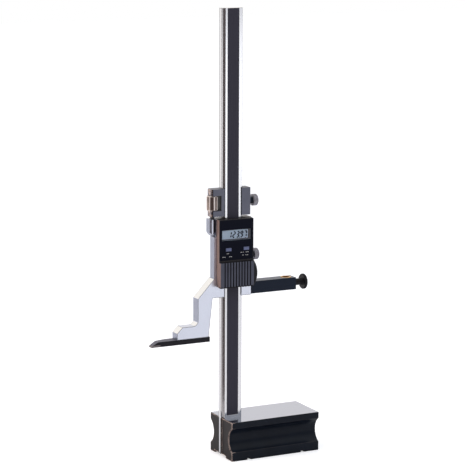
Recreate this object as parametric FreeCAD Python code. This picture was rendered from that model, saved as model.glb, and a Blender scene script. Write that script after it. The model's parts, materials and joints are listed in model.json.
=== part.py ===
import FreeCAD, Part
import math
import os
from FreeCAD import Vector

# Height gauge, in millimetres. X runs along the base, from the scriber's side to the
# indicator's, -Y is the front and +Z is up. The origin is the middle of the base's
# footprint, on the plane of the surface plate.

# Base
base_length = 102.0
base_depth = 49.5
base_height = 41.0
base_top_band = 6.5
base_band_bevel = 2.0
base_waist_inset = 7.5
base_foot_band = 9.5
base_edge_break = 0.6
relief_height = 2.7
front_rail_width = 13.6
rear_rail_width = 9.0
right_land_width = 13.0
notch_width = 4.0
notch_height = 1.5
left_notch_from_end = 20.2
right_notch_from_end = 19.2

# Beam, a rib in front of a wider flange
beam_top = 462.0
beam_centre_from_left_end = 10.4
beam_front_from_base_centre = 5.35
rib_width = 17.5
rib_depth = 3.0
flange_width = 23.6
flange_thickness = 5.0
beam_foot_height = 3.0
beam_slot_clearance = 0.1
strip_width = 12.8
strip_thickness = 0.5
strip_groove_depth = 0.6
strip_side_clearance = 0.1
strip_start_above_base = 3.0

# Screws that hold the beam in the base
column_screw_radius = 2.5
column_screw_head_radius = 4.25
column_screw_head_height = 5.0
column_screw_grip = 10.0
column_screw_bite = 4.0
column_screw_low = 12.5
column_screw_pitch = 16.5

# What runs on the beam
running_clearance = 0.3
rib_slot_clearance = 0.8
slide_face_proud = 0.4
slide_thickness = 11.7
gib_thickness = 1.1
gib_gap = 0.1
gib_end_margin = 2.0
face_gap = 0.1
front_bevel = 1.7
rear_bevel = 2.4

# Slider and jaw
reading = 123.97
slider_left_reach = 21.3
slider_right_wall = 7.8
jaw_drop = 39.8
jaw_root_reach = 1.8
jaw_heel_reach = 6.3
jaw_foot_length = 35.1
jaw_foot_toe_height = 6.5
jaw_foot_height = 12.5
jaw_toe_bevel = 5.9
jaw_fillet_radius = 5.5
jaw_shoulder_radius = 3.0
jaw_neck_reach = 18.0
jaw_neck_height = 40.4
jaw_diagonal_rise = 19.0

# Fine adjustment
lead_screw_radius = 2.5
lead_boss_side_wall = 2.4
lead_boss_height = 13.4
lead_slot_width = 2.6
lead_slot_height = 18.0
lead_screw_seat_depth = 14.0
thread_running_clearance = 0.08
nut_radius = 6.1
nut_length = 15.1
nut_chamfer = 0.8
nut_end_gap = 0.2
nut_side_gap = 1.4
nut_window_wall = 1.2
nut_ridges = 8
nut_ridge_land = 0.3
nut_flute_depth = 0.55
lead_screw_past_nut = 2.2
lead_screw_room = 3.5

# Carriage
carriage_gap = 2.4
carriage_left_past_lead = 3.4
carriage_right_wall = 6.5
carriage_lower_lug = 5.8
carriage_upper_lug = 6.7

# Thumb screws of the slider and of the carriage
thumb_head_radius = 6.0
thumb_head_length = 5.6
thumb_head_chamfer = 0.6
thumb_neck_radius = 3.4
thumb_neck_length = 4.0
thumb_shank_radius = 2.0
thumb_shank_clearance = 0.06
thumb_teeth = 18
thumb_tooth_depth = 0.35
carriage_thumb_height = 13.8
slider_thumb_height = 41.2
set_screw_radius = 1.5
set_screw_length = 5.0
set_screw_from_bottom = 25.0
set_screw_from_top = 18.0

# Screws in general
screw_side_clearance = 0.05
screw_end_gap = 0.1
seat_clearance = 0.02

# Scriber
scriber_thickness = 5.2
scriber_width = 11.0
scriber_length = 65.4
scriber_heel_past_jaw = 1.7
scriber_nose_thickness = 1.4
scriber_nose_bevel_length = 7.6
scriber_taper_length = 19.5
scriber_taper_depth = 5.0
tip_length = 10.0
tip_thickness = 2.0
scriber_screw_radius = 1.5
scriber_screw_head_radius = 2.8
scriber_screw_recess = 0.3
scriber_screw_bite = 6.0
scriber_screw_from_heel = 8.5
scriber_screw_pitch = 20.0

# Indicator bar
bar_length = 52.5
bar_depth = 13.8
bar_height = 12.6
bar_above_slider_bottom = 0.7
bar_edge_break = 0.4
bar_tongue_length = 7.0
bar_tongue_front = 7.7
bar_joint_gap = 0.2
bar_screw_radius = 1.25
bar_screw_head_radius = 2.2
bar_screw_head_height = 1.8
bar_screw_bite = 4.0
bar_screw_pitch = 5.2
stem_bore_radius = 4.0
bush_wall = 1.0
bush_slit = 0.8
bush_collar_width = 0.6
bush_collar_height = 0.4
bush_from_bar_end = 8.7
knob_radius = 8.0
knob_length = 3.2
knob_chamfer = 0.5
knob_neck_radius = 3.5
knob_neck_length = 10.0
knob_teeth = 24
knob_tooth_depth = 0.4

# Display unit
head_left_reach = 18.65
head_right_reach = 20.2
head_depth = 6.1
head_height = 69.8
head_top_drop = 0.2
head_above_slider_bottom = 11.0
head_corner_radius = 0.8
panel_thickness = 0.9
panel_margin = 0.6
panel_fit = 0.1
front_wall = 0.8
side_wall = 1.0
board_ledge = 0.8
board_thickness = 1.0
board_edge_clearance = 0.2
read_head_thickness = 0.8
read_head_width = 13.0
read_head_height = 24.0
read_head_air_gap = 0.3
window_width = 32.6
window_height = 11.1
window_left_from_head = 3.25
window_top_from_head = 10.6
window_fit = 0.1
display_rim = 0.4
display_thickness = 1.4
connector_width = 1.2
button_width = 6.5
button_height = 3.6
button_proud = 0.3
button_fit = 0.15
button_flange = 0.5
button_stem_width = 2.6
button_travel = 0.6
left_button_from_head = 10.65
right_button_from_head = 30.75
button_below_top = 30.9
switch_size = 4.6
switch_thickness = 0.7
switch_plunger_width = 1.8
switch_plunger_height = 0.2
switch_gap = 0.1
head_screw_radius = 1.25
head_screw_head_radius = 2.2
head_screw_head_height = 1.8
head_screw_clearance = 0.2
head_screw_bite = 4.0
head_screw_left_of_tunnel = 3.5
head_screw_right_of_tunnel = 3.9
head_screw_from_ends = 6.2
head_post_width = 5.2

# Battery end of the display unit
bulge = 4.1
cover_thickness = 3.5
cover_gap = 0.1
cover_edge_bevel = 2.2
cover_end_gap = 1.2
rib_pitch = 3.2
rib_grooves = 10
rib_groove_width = 1.4
rib_groove_depth = 1.1
first_groove_from_left = 4.95
tongue_neck = 1.0
tongue_foot = 0.9
tongue_depth = 2.2
tongue_foot_depth = 1.0
tongue_from_edge = 2.3
tongue_clearance = 0.15
battery_radius = 8.0
battery_thickness = 3.2
battery_step = 0.8
battery_clearance = 0.3
battery_end_wall = 5.3
battery_pocket_front_gap = 0.4
contact_thickness = 0.4
contact_width = 5.0
contact_past_centre = 5.0
contact_tail_rise = 1.0
facet_height = 10.5
facet_inset = 1.0

# Levels and planes worked out from the sizes above
beam_x = beam_centre_from_left_end - base_length / 2
beam_front_y = -beam_front_from_base_centre
flange_front_y = beam_front_y + rib_depth
flange_back_y = flange_front_y + flange_thickness
slide_front_y = beam_front_y - slide_face_proud
slide_back_y = slide_front_y + slide_thickness
slide_mid_y = (slide_front_y + slide_back_y) / 2
foot_bottom_z = reading + scriber_thickness
slider_bottom_z = foot_bottom_z + jaw_drop
head_bottom_z = slider_bottom_z + head_above_slider_bottom
head_top_z = head_bottom_z + head_height
slider_top_z = head_top_z + head_top_drop
carriage_bottom_z = slider_top_z + carriage_gap
window_bottom_z = carriage_bottom_z + carriage_lower_lug
window_top_z = window_bottom_z + nut_length + 2 * nut_end_gap
carriage_top_z = window_top_z + carriage_upper_lug
flange_right_x = beam_x + flange_width / 2
tunnel_left_x = beam_x - flange_width / 2 - running_clearance
lead_x = tunnel_left_x - nut_window_wall - nut_side_gap - nut_radius
gib_left_x = flange_right_x + gib_gap
gib_right_x = gib_left_x + gib_thickness
tunnel_right_x = gib_right_x + gib_gap
slider_left_x = beam_x - slider_left_reach
slider_right_x = tunnel_right_x + slider_right_wall
carriage_left_x = lead_x - carriage_left_past_lead
carriage_right_x = tunnel_right_x + carriage_right_wall
boss_left_x = lead_x - lead_screw_radius - lead_boss_side_wall
jaw_heel_x = slider_left_x - jaw_heel_reach
head_left_x = beam_x - head_left_reach
head_right_x = beam_x + head_right_reach
head_front_y = slide_front_y - head_depth
battery_x = (head_left_x + head_right_x) / 2
battery_z = head_bottom_z + battery_end_wall + battery_clearance + battery_radius
panel_bottom_z = battery_z + battery_radius + battery_clearance + battery_end_wall
wall_front_y = head_front_y + panel_thickness
wall_back_y = wall_front_y + front_wall
read_head_front_y = beam_front_y - read_head_air_gap - read_head_thickness
board_front_y = read_head_front_y - board_thickness
battery_front_y = head_front_y + battery_pocket_front_gap
battery_back_y = battery_front_y + battery_thickness
pocket_floor_y = battery_back_y + contact_thickness
board_way_z = panel_bottom_z + side_wall + board_ledge + contact_tail_rise
bar_left_x = slider_right_x + bar_joint_gap
bar_right_x = bar_left_x + bar_length
bar_bottom_z = slider_bottom_z + bar_above_slider_bottom
bar_mid_y = slide_front_y + bar_depth / 2
bar_mid_z = bar_bottom_z + bar_height / 2
bush_x = bar_right_x - bush_from_bar_end
scriber_heel_x = jaw_heel_x + scriber_heel_past_jaw
scriber_nose_x = scriber_heel_x - scriber_length

up = Vector(0, 0, 1)
right = Vector(1, 0, 0)
back = Vector(0, 1, 0)


def box(x0, x1, y0, y1, z0, z1):
    """A block between two corners."""
    return Part.makeBox(x1 - x0, y1 - y0, z1 - z0, Vector(x0, y0, z0))


def rod(radius, start, direction, length):
    """A cylinder that starts at a point and runs along a direction."""
    return Part.makeCylinder(radius, length, start, direction)


def cone(radius_1, radius_2, start, direction, length):
    """A cone frustum that starts at a point and runs along a direction."""
    return Part.makeCone(radius_1, radius_2, length, start, direction)


def prism(points, sweep):
    """A straight prism on a flat outline given by its corners."""
    outline = Part.makePolygon(points + [points[0]])
    return Part.Face(outline).extrude(sweep)


def plate_xz(corners, y0, y1):
    """A plate on an outline in the front view, from plane y0 back to y1."""
    points = [Vector(x, y0, z) for x, z in corners]
    return prism(points, Vector(0, y1 - y0, 0))


def bar_yz(corners, x0, x1):
    """A bar on an outline in the side view, from plane x0 right to x1."""
    points = [Vector(x0, y, z) for y, z in corners]
    return prism(points, Vector(x1 - x0, 0, 0))


def post_xy(corners, z0, z1):
    """A post on an outline in the top view, from level z0 up to z1."""
    points = [Vector(x, y, z0) for x, y in corners]
    return prism(points, Vector(0, 0, z1 - z0))


def toothed_drum(radius, length, teeth, tooth_depth, chamfer, land=0):
    """A drum along +Z with straight knurling, drawn in at both ends. The land is the part of
    a tooth's pitch that keeps the full radius."""
    corners = [(0, radius), ((1 + land) / 2, radius - tooth_depth)]
    if land:
        corners.insert(1, (land, radius))
    drawn_in = (radius - chamfer) / radius
    rings = []
    for z, scale in ((0, drawn_in), (chamfer, 1), (length - chamfer, 1), (length, drawn_in)):
        ring = []
        for tooth in range(teeth):
            for along, reach in corners:
                angle = 2 * math.pi * (tooth + along) / teeth
                ring.append(Vector(reach * math.cos(angle), reach * math.sin(angle), 0) * scale + up * z)
        rings.append(ring)
    faces = [Part.Face(Part.makePolygon(ring + [ring[0]])) for ring in (rings[0], rings[-1])]
    for low, high in zip(rings, rings[1:]):
        for i in range(len(low)):
            flank = [low[i - 1], low[i], high[i], high[i - 1], low[i - 1]]
            faces.append(Part.Face(Part.makePolygon(flank)))
    drum = Part.Solid(Part.Shell(faces))
    if drum.Volume < 0:
        drum.reverse()
    return drum


def point_right(shape, x, y, z):
    """Turns a drum made along +Z so that it runs along +X from a point."""
    shape.rotate(Vector(0, 0, 0), back, 90)
    shape.translate(Vector(x, y, z))
    return shape


def base_profile_side(side):
    """One waisted long side of the base, from the plate up to the top face."""
    outer = side * base_depth / 2
    shoulder = side * (base_depth / 2 - base_band_bevel)
    waist = side * (base_depth / 2 - base_waist_inset)
    band_z = base_height - base_top_band
    shoulder_z = band_z - base_band_bevel
    waist_z = (shoulder_z + base_foot_band) / 2
    foot = Vector(0, outer, 0)
    foot_top = Vector(0, outer, base_foot_band)
    neck = Vector(0, shoulder, shoulder_z)
    band = Vector(0, outer, band_z)
    top = Vector(0, outer, base_height)
    return [
        Part.LineSegment(foot, foot_top),
        Part.Arc(foot_top, Vector(0, waist, waist_z), neck),
        Part.LineSegment(neck, band),
        Part.LineSegment(band, top),
    ]


def make_base_block():
    """The base: waisted sides, slot for the beam, relieved underside and notches."""
    front = base_profile_side(-1)
    rear = base_profile_side(1)
    half = base_depth / 2
    lid = Part.LineSegment(Vector(0, -half, base_height), Vector(0, half, base_height))
    sole = Part.LineSegment(Vector(0, half, 0), Vector(0, -half, 0))
    edges = [curve.toShape() for curve in front + [lid] + rear + [sole]]
    wire = Part.Wire(Part.__sortEdges__(edges))
    block = Part.Face(wire).extrude(Vector(base_length, 0, 0))
    end_edges = [edge for edge in block.Edges if edge.BoundBox.XLength < 1e-3]
    block = block.makeChamfer(base_edge_break, end_edges)
    block.translate(Vector(-base_length / 2, 0, 0))
    left_x = -base_length / 2
    slot_right_x = flange_right_x + beam_slot_clearance
    slot_front_y = flange_front_y - beam_slot_clearance
    slot_back_y = flange_back_y + beam_slot_clearance
    block = block.cut(box(left_x - 1, slot_right_x, slot_front_y, slot_back_y, -1, base_height + 1))
    relief_right_x = base_length / 2 - right_land_width
    relief = box(left_x - 1, relief_right_x, front_rail_width - half, half - rear_rail_width,
                 -1, relief_height)
    block = block.cut(relief)
    for notch_x in (left_x + left_notch_from_end, base_length / 2 - right_notch_from_end):
        notch = box(notch_x - notch_width / 2, notch_x + notch_width / 2,
                    -half - 1, front_rail_width - half, -1, notch_height)
        block = block.cut(notch)
    for start_z in column_screw_levels():
        floor_y = flange_back_y + column_screw_grip
        hole = rod(column_screw_radius + running_clearance, Vector(beam_x, flange_front_y, start_z),
                   back, base_depth)
        sink = rod(column_screw_head_radius + running_clearance, Vector(beam_x, floor_y, start_z),
                   back, base_depth)
        block = block.cut(hole).cut(sink)
    return block


def column_screw_levels():
    """Heights of the two screws that hold the beam."""
    return (column_screw_low, column_screw_low + column_screw_pitch)


def make_column_beam():
    """The stepped beam: the flange goes down into the base, the rib stands on its top."""
    flange = box(beam_x - flange_width / 2, flange_right_x, flange_front_y, flange_back_y,
                 beam_foot_height, beam_top)
    rib = box(beam_x - rib_width / 2, beam_x + rib_width / 2, beam_front_y, flange_front_y,
              base_height, beam_top)
    beam = flange.fuse(rib).removeSplitter()
    groove_half = strip_width / 2 + strip_side_clearance
    groove = box(beam_x - groove_half, beam_x + groove_half, beam_front_y - 1,
                 beam_front_y + strip_groove_depth, base_height + strip_start_above_base, beam_top + 1)
    beam = beam.cut(groove)
    for start_z in column_screw_levels():
        tapped = rod(column_screw_radius + seat_clearance,
                     Vector(beam_x, flange_back_y - column_screw_bite, start_z),
                     back, column_screw_bite + 1)
        beam = beam.cut(tapped)
    return beam


def make_scale_strip():
    """The scale strip, glued to the floor of the groove in the rib."""
    floor_y = beam_front_y + strip_groove_depth
    return box(beam_x - strip_width / 2, beam_x + strip_width / 2, floor_y - strip_thickness, floor_y,
               base_height + strip_start_above_base, beam_top)


def cap_screw(radius, head_radius, head_height, seat, direction, shank):
    """A cap screw whose head sits on a seat, its shank running along a direction."""
    head_start = seat - direction * head_height
    head = rod(head_radius, head_start, direction, head_height)
    return head.fuse(rod(radius, seat, direction, shank))


def make_column_screws():
    """The two cap screws from the back of the base into the beam's flange."""
    seat_y = flange_back_y + column_screw_grip
    screws = []
    for start_z in column_screw_levels():
        seat = Vector(beam_x, seat_y, start_z)
        screws.append(cap_screw(column_screw_radius, column_screw_head_radius,
                                column_screw_head_height, seat, Vector(0, -1, 0),
                                column_screw_grip + column_screw_bite - running_clearance))
    return Part.makeCompound(screws)


def beam_tunnel(z0, z1):
    """The space for the beam and the gib through a block that runs on the beam."""
    rib_half = rib_width / 2 + rib_slot_clearance
    mouth = box(beam_x - rib_half, beam_x + rib_half, slide_front_y - 1, flange_front_y,
                z0 - 1, z1 + 1)
    flange_room = box(tunnel_left_x, tunnel_right_x, flange_front_y - running_clearance,
                      flange_back_y + running_clearance, z0 - 1, z1 + 1)
    return mouth.fuse(flange_room)


def bevelled_end(x_left, x_right, z0, z1, bevel_front, bevel_back):
    """A block across the slide's thickness with bevels down its left upright edges."""
    corners = [
        (x_left + bevel_front, slide_front_y),
        (x_right, slide_front_y),
        (x_right, slide_back_y),
        (x_left + bevel_back, slide_back_y),
        (x_left, slide_back_y - bevel_back),
        (x_left, slide_front_y + bevel_front),
    ]
    return post_xy(corners, z0, z1)


def make_gib(z0, z1):
    """A brake strip between the clamp screw and the beam's right edge."""
    return box(gib_left_x, gib_right_x, flange_front_y, flange_back_y, z0 + gib_end_margin,
               z1 - gib_end_margin)


def clamp_screw_hole(right_x, z):
    """The threaded hole of a thumb screw, from the right face to the gib."""
    return rod(thumb_shank_radius + thumb_shank_clearance, Vector(gib_right_x, slide_mid_y, z),
               right, right_x - gib_right_x + 1)


def make_thumb_screw(right_x, z):
    """A knurled thumb screw that presses the gib against the beam."""
    neck_x = right_x + face_gap
    head_x = neck_x + thumb_neck_length
    tip_x = gib_right_x + face_gap
    head = toothed_drum(thumb_head_radius, thumb_head_length, thumb_teeth, thumb_tooth_depth,
                        thumb_head_chamfer)
    head = point_right(head, head_x, slide_mid_y, z)
    neck = rod(thumb_neck_radius, Vector(neck_x, slide_mid_y, z), right, thumb_neck_length)
    shank = rod(thumb_shank_radius, Vector(tip_x, slide_mid_y, z), right, neck_x - tip_x)
    return head.fuse(neck).fuse(shank).removeSplitter()


def make_clamp_carriage():
    """The fine-adjust carriage: it wraps the beam, and its two lugs hold the nut."""
    block = bevelled_end(carriage_left_x, carriage_right_x, carriage_bottom_z, carriage_top_z,
                         front_bevel, rear_bevel)
    block = block.cut(beam_tunnel(carriage_bottom_z, carriage_top_z))
    window = box(carriage_left_x - 1, lead_x + nut_radius + nut_side_gap, slide_front_y - 1, slide_back_y + 1,
                 window_bottom_z, window_top_z)
    block = block.cut(window)
    blind_top_z = window_top_z + lead_screw_past_nut + lead_screw_room
    lead_hole = rod(lead_screw_radius + running_clearance,
                    Vector(lead_x, slide_mid_y, carriage_bottom_z - 1), up,
                    blind_top_z - carriage_bottom_z + 1)
    block = block.cut(lead_hole)
    return block.cut(clamp_screw_hole(carriage_right_x, carriage_bottom_z + carriage_thumb_height))


def make_fine_adjust_nut():
    """The fluted nut, held between the carriage's lugs."""
    nut = toothed_drum(nut_radius, nut_length, nut_ridges, nut_flute_depth, nut_chamfer,
                       nut_ridge_land)
    thread = rod(lead_screw_radius + thread_running_clearance, Vector(0, 0, -1), up, nut_length + 2)
    nut = nut.cut(thread)
    nut.translate(Vector(lead_x, slide_mid_y, window_bottom_z + nut_end_gap))
    return nut


def make_fine_adjust_screw():
    """The lead screw, fixed in the slider's boss and passing through the nut."""
    start_z = slider_top_z - lead_screw_seat_depth
    end_z = window_top_z + lead_screw_past_nut
    shaft = rod(lead_screw_radius, Vector(lead_x, slide_mid_y, start_z), up, end_z - start_z)
    return shaft


def make_jaw_plate():
    """Slider and jaw as one plate in the front view, with the boss at the top left."""
    toe_x = jaw_heel_x - jaw_foot_length
    neck_x = slider_left_x - jaw_neck_reach
    boss_foot_z = slider_top_z - lead_boss_height
    foot_top_z = foot_bottom_z + jaw_foot_height
    neck_top_z = foot_bottom_z + jaw_neck_height
    plate = plate_xz([
        (slider_right_x, slider_bottom_z),
        (slider_right_x, slider_top_z),
        (boss_left_x, slider_top_z),
        (boss_left_x, boss_foot_z),
        (slider_left_x, boss_foot_z - (slider_left_x - boss_left_x)),
        (slider_left_x, neck_top_z + jaw_diagonal_rise),
        (neck_x, neck_top_z),
        (neck_x, foot_top_z),
        (toe_x + jaw_toe_bevel, foot_top_z),
        (toe_x, foot_bottom_z + jaw_foot_toe_height),
        (toe_x, foot_bottom_z),
        (jaw_heel_x, foot_bottom_z),
        (slider_left_x - jaw_root_reach, slider_bottom_z),
    ], slide_front_y, slide_back_y)
    inner_corner = edges_along_y(plate, neck_x, foot_top_z)
    plate = plate.makeFillet(jaw_fillet_radius, inner_corner)
    outer_corner = edges_along_y(plate, neck_x, neck_top_z)
    return plate.makeFillet(jaw_shoulder_radius, outer_corner)


def edges_along_y(shape, x, z):
    """The edges of a shape that run along Y at x, z."""
    found = []
    for edge in shape.Edges:
        span = edge.BoundBox
        runs_back = span.XLength < 1e-4 and span.ZLength < 1e-4
        if runs_back and abs(span.XMin - x) < 1e-3 and abs(span.ZMin - z) < 1e-3:
            found.append(edge)
    return found


def corner_wedge(x, y, step_x, step_y, z0, z1):
    """The wedge that a bevel takes off an upright corner."""
    return post_xy([(x, y), (x + step_x, y), (x, y + step_y)], z0, z1)


def make_slider_frame():
    """Slider and jaw in one piece: beam tunnel, lead screw boss, seats of what it carries."""
    diagonal_top_z = foot_bottom_z + jaw_neck_height + jaw_diagonal_rise
    boss_low_z = slider_top_z - lead_boss_height - (slider_left_x - boss_left_x)
    frame = make_jaw_plate()
    frame = frame.cut(corner_wedge(boss_left_x, slide_front_y, front_bevel, front_bevel,
                                   boss_low_z, slider_top_z))
    frame = frame.cut(corner_wedge(boss_left_x, slide_back_y, rear_bevel, -rear_bevel,
                                   boss_low_z, slider_top_z))
    frame = frame.cut(corner_wedge(slider_left_x, slide_back_y, rear_bevel, -rear_bevel,
                                   diagonal_top_z, boss_low_z))
    frame = frame.cut(beam_tunnel(slider_bottom_z, slider_top_z))
    socket = rod(lead_screw_radius + seat_clearance,
                 Vector(lead_x, slide_mid_y, slider_top_z - lead_screw_seat_depth), up,
                 lead_screw_seat_depth + 1)
    slot = box(lead_x - lead_slot_width / 2, lead_x + lead_slot_width / 2, slide_front_y - 1,
               slide_mid_y, slider_top_z - lead_slot_height, slider_top_z + 1)
    frame = frame.cut(socket).cut(slot)
    frame = frame.cut(clamp_screw_hole(slider_right_x, slider_bottom_z + slider_thumb_height))
    for z in set_screw_levels():
        frame = frame.cut(rod(set_screw_radius + seat_clearance, Vector(gib_right_x, slide_mid_y, z),
                              right, slider_right_x - gib_right_x + 1))
    for x, z in head_screw_places():
        frame = frame.cut(screw_way(head_screw_radius, head_screw_head_radius, x, z,
                                    slide_back_y - head_screw_head_height, slide_front_y))
    rebate = box(slider_right_x - bar_tongue_length, slider_right_x + 1, slide_front_y + bar_tongue_front,
                 slide_back_y + 1, bar_bottom_z, bar_bottom_z + bar_height)
    frame = frame.cut(rebate)
    for x, z in bar_screw_places():
        tongue_front_y = slide_front_y + bar_tongue_front
        frame = frame.cut(rod(bar_screw_radius + seat_clearance,
                              Vector(x, tongue_front_y - bar_screw_bite, z), back,
                              bar_screw_bite + 1))
    for x in scriber_screw_places():
        frame = frame.cut(rod(scriber_screw_radius + seat_clearance,
                              Vector(x, slide_mid_y, foot_bottom_z - 1), up, scriber_screw_bite + 1))
    return frame


def screw_way(radius, head_radius, x, z, seat_y, end_y):
    """The hole of a cap screw that enters from the back, with the room for its head."""
    shank = rod(radius + head_screw_clearance, Vector(x, end_y - 1, z), back, seat_y - end_y + 2)
    head = rod(head_radius + head_screw_clearance, Vector(x, seat_y, z), back, slide_thickness)
    return shank.fuse(head)


def set_screw_levels():
    """Heights of the two grub screws behind the slider's gib."""
    return (slider_bottom_z + set_screw_from_bottom, slider_top_z - set_screw_from_top)


def make_gib_set_screws():
    """The two grub screws that press the slider's gib."""
    screws = []
    for z in set_screw_levels():
        start = Vector(gib_right_x, slide_mid_y, z)
        screws.append(rod(set_screw_radius, start, right, set_screw_length))
    return Part.makeCompound(screws)


def scriber_screw_places():
    """Where along X the scriber's screws stand."""
    first_x = scriber_heel_x - scriber_screw_from_heel
    return (first_x, first_x - scriber_screw_pitch)


def nose_height_at(distance):
    """Height of the scriber's bevel above its measuring face, by the way in from the nose."""
    rise = scriber_thickness - scriber_nose_thickness
    return scriber_nose_thickness + rise * distance / scriber_nose_bevel_length


def nose_distance_at(height):
    """The way in from the nose at which the scriber's bevel reaches a height."""
    rise = scriber_thickness - scriber_nose_thickness
    return (height - scriber_nose_thickness) * scriber_nose_bevel_length / rise


def nose_taper():
    """What the taper takes off the back of the scriber's nose."""
    back_y = slide_mid_y + scriber_width / 2
    return post_xy([
        (scriber_nose_x, back_y - scriber_taper_depth),
        (scriber_nose_x + scriber_taper_length, back_y),
        (scriber_nose_x - 1, back_y + 1),
        (scriber_nose_x - 1, back_y - scriber_taper_depth),
    ], reading - 1, foot_bottom_z + 1)


def make_scriber():
    """The scriber's body: a bevelled nose, a seat for the tip and two countersunk holes."""
    front_y = slide_mid_y - scriber_width / 2
    back_y = slide_mid_y + scriber_width / 2
    seat_z = reading + tip_thickness
    body = plate_xz([
        (scriber_heel_x, reading),
        (scriber_heel_x, foot_bottom_z),
        (scriber_nose_x + scriber_nose_bevel_length, foot_bottom_z),
        (scriber_nose_x + nose_distance_at(tip_thickness), seat_z),
        (scriber_nose_x + tip_length, seat_z),
        (scriber_nose_x + tip_length, reading),
    ], front_y, back_y)
    body = body.cut(nose_taper())
    for x in scriber_screw_places():
        shank_radius = scriber_screw_radius + screw_side_clearance
        mouth_radius = scriber_screw_head_radius + screw_side_clearance + scriber_screw_recess
        start = Vector(x, slide_mid_y, reading)
        sink = cone(mouth_radius, shank_radius, start, up, mouth_radius - shank_radius)
        body = body.cut(sink).cut(rod(shank_radius, start, up, scriber_thickness + 1))
    return body


def make_scriber_tip():
    """The carbide tip, brazed under the nose, with the measuring edge."""
    front_y = slide_mid_y - scriber_width / 2
    back_y = slide_mid_y + scriber_width / 2
    tip = plate_xz([
        (scriber_nose_x, reading),
        (scriber_nose_x, reading + scriber_nose_thickness),
        (scriber_nose_x + nose_distance_at(tip_thickness), reading + tip_thickness),
        (scriber_nose_x + tip_length, reading + tip_thickness),
        (scriber_nose_x + tip_length, reading),
    ], front_y, back_y)
    return tip.cut(nose_taper())


def make_scriber_screws():
    """The two countersunk screws that hold the scriber, from below."""
    screws = []
    head_height = scriber_screw_head_radius - scriber_screw_radius
    for x in scriber_screw_places():
        start = Vector(x, slide_mid_y, reading + scriber_screw_recess)
        head = cone(scriber_screw_head_radius, scriber_screw_radius, start, up, head_height)
        length = scriber_thickness - scriber_screw_recess + scriber_screw_bite - screw_end_gap
        neck = start + up * head_height
        screws.append(head.fuse(rod(scriber_screw_radius, neck, up, length - head_height)))
    return Part.makeCompound(screws)


def bar_screw_places():
    """Where the indicator bar's screws stand, x and z."""
    x = slider_right_x - bar_tongue_length / 2
    return [(x, bar_mid_z - bar_screw_pitch / 2), (x, bar_mid_z + bar_screw_pitch / 2)]


def make_indicator_bar():
    """The bar for a dial test indicator: a tongue behind the slider and a bushed bore."""
    top_z = bar_bottom_z + bar_height
    tongue_front_y = slide_front_y + bar_tongue_front
    bar = box(bar_left_x, bar_right_x, slide_front_y, slide_front_y + bar_depth, bar_bottom_z, top_z)
    bar = bar.makeChamfer(bar_edge_break, bar.Edges)
    tongue_left_x = slider_right_x - bar_tongue_length + bar_joint_gap
    tongue = box(tongue_left_x, bar_left_x + bar_edge_break, tongue_front_y, slide_back_y,
                 bar_bottom_z + bar_edge_break, top_z - bar_edge_break)
    bar = bar.fuse(tongue)
    for x, z in bar_screw_places():
        seat_y = slide_back_y - bar_screw_head_height
        bar = bar.cut(screw_way(bar_screw_radius, bar_screw_head_radius, x, z, seat_y, tongue_front_y))
    bush_seat = rod(stem_bore_radius + bush_wall + seat_clearance,
                    Vector(bush_x, bar_mid_y, bar_bottom_z - 1), up, bar_height + 2)
    thread = rod(thumb_shank_radius + thumb_shank_clearance, Vector(bush_x, bar_mid_y, bar_mid_z),
                 right, bush_from_bar_end + 1)
    return bar.cut(bush_seat).cut(thread)


def make_indicator_bar_screws():
    """The two cap screws that hold the indicator bar, from the back."""
    screws = []
    seat_y = slide_back_y - bar_screw_head_height
    tongue_front_y = slide_front_y + bar_tongue_front
    length = seat_y - tongue_front_y + bar_screw_bite - screw_end_gap
    for x, z in bar_screw_places():
        screws.append(cap_screw(bar_screw_radius, bar_screw_head_radius, bar_screw_head_height,
                                Vector(x, seat_y, z), Vector(0, -1, 0), length))
    return Part.makeCompound(screws)


def make_clamp_bush():
    """The split brass bush that grips the indicator's stem."""
    top_z = bar_bottom_z + bar_height
    sleeve = rod(stem_bore_radius + bush_wall, Vector(bush_x, bar_mid_y, bar_bottom_z), up, bar_height)
    collar_radius = stem_bore_radius + bush_wall + bush_collar_width
    collar = rod(collar_radius, Vector(bush_x, bar_mid_y, top_z), up, bush_collar_height)
    bush = sleeve.fuse(collar)
    bore = rod(stem_bore_radius, Vector(bush_x, bar_mid_y, bar_bottom_z - 1), up,
               bar_height + bush_collar_height + 2)
    slit = box(bush_x - collar_radius - 1, bush_x, bar_mid_y - bush_slit / 2,
               bar_mid_y + bush_slit / 2, bar_bottom_z - 1, top_z + bush_collar_height + 1)
    return bush.cut(bore).cut(slit)


def make_indicator_clamp_knob():
    """The knurled knob at the bar's end, whose shank presses the split bush."""
    neck_x = bar_right_x + face_gap
    tip_x = bush_x + stem_bore_radius + bush_wall + face_gap
    disc = toothed_drum(knob_radius, knob_length, knob_teeth, knob_tooth_depth, knob_chamfer)
    disc = point_right(disc, neck_x + knob_neck_length, bar_mid_y, bar_mid_z)
    neck = rod(knob_neck_radius, Vector(neck_x, bar_mid_y, bar_mid_z), right, knob_neck_length)
    shank = rod(thumb_shank_radius, Vector(tip_x, bar_mid_y, bar_mid_z), right, neck_x - tip_x)
    return disc.fuse(neck).fuse(shank)


def head_screw_places():
    """Where the display unit's four screws stand, x and z."""
    left = tunnel_left_x - head_screw_left_of_tunnel
    far = tunnel_right_x + head_screw_right_of_tunnel
    low = head_bottom_z + head_screw_from_ends
    high = head_top_z - head_screw_from_ends
    return [(left, low), (far, low), (left, high), (far, high)]


def upper_screw_places():
    """The screws of the display unit that pass beside the board."""
    return [place for place in head_screw_places() if place[1] > panel_bottom_z]


def square_post(width, x, z, y0, y1):
    """A square post about a line that runs back from x, z."""
    half = width / 2
    return box(x - half, x + half, y0, y1, z - half, z + half)


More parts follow.
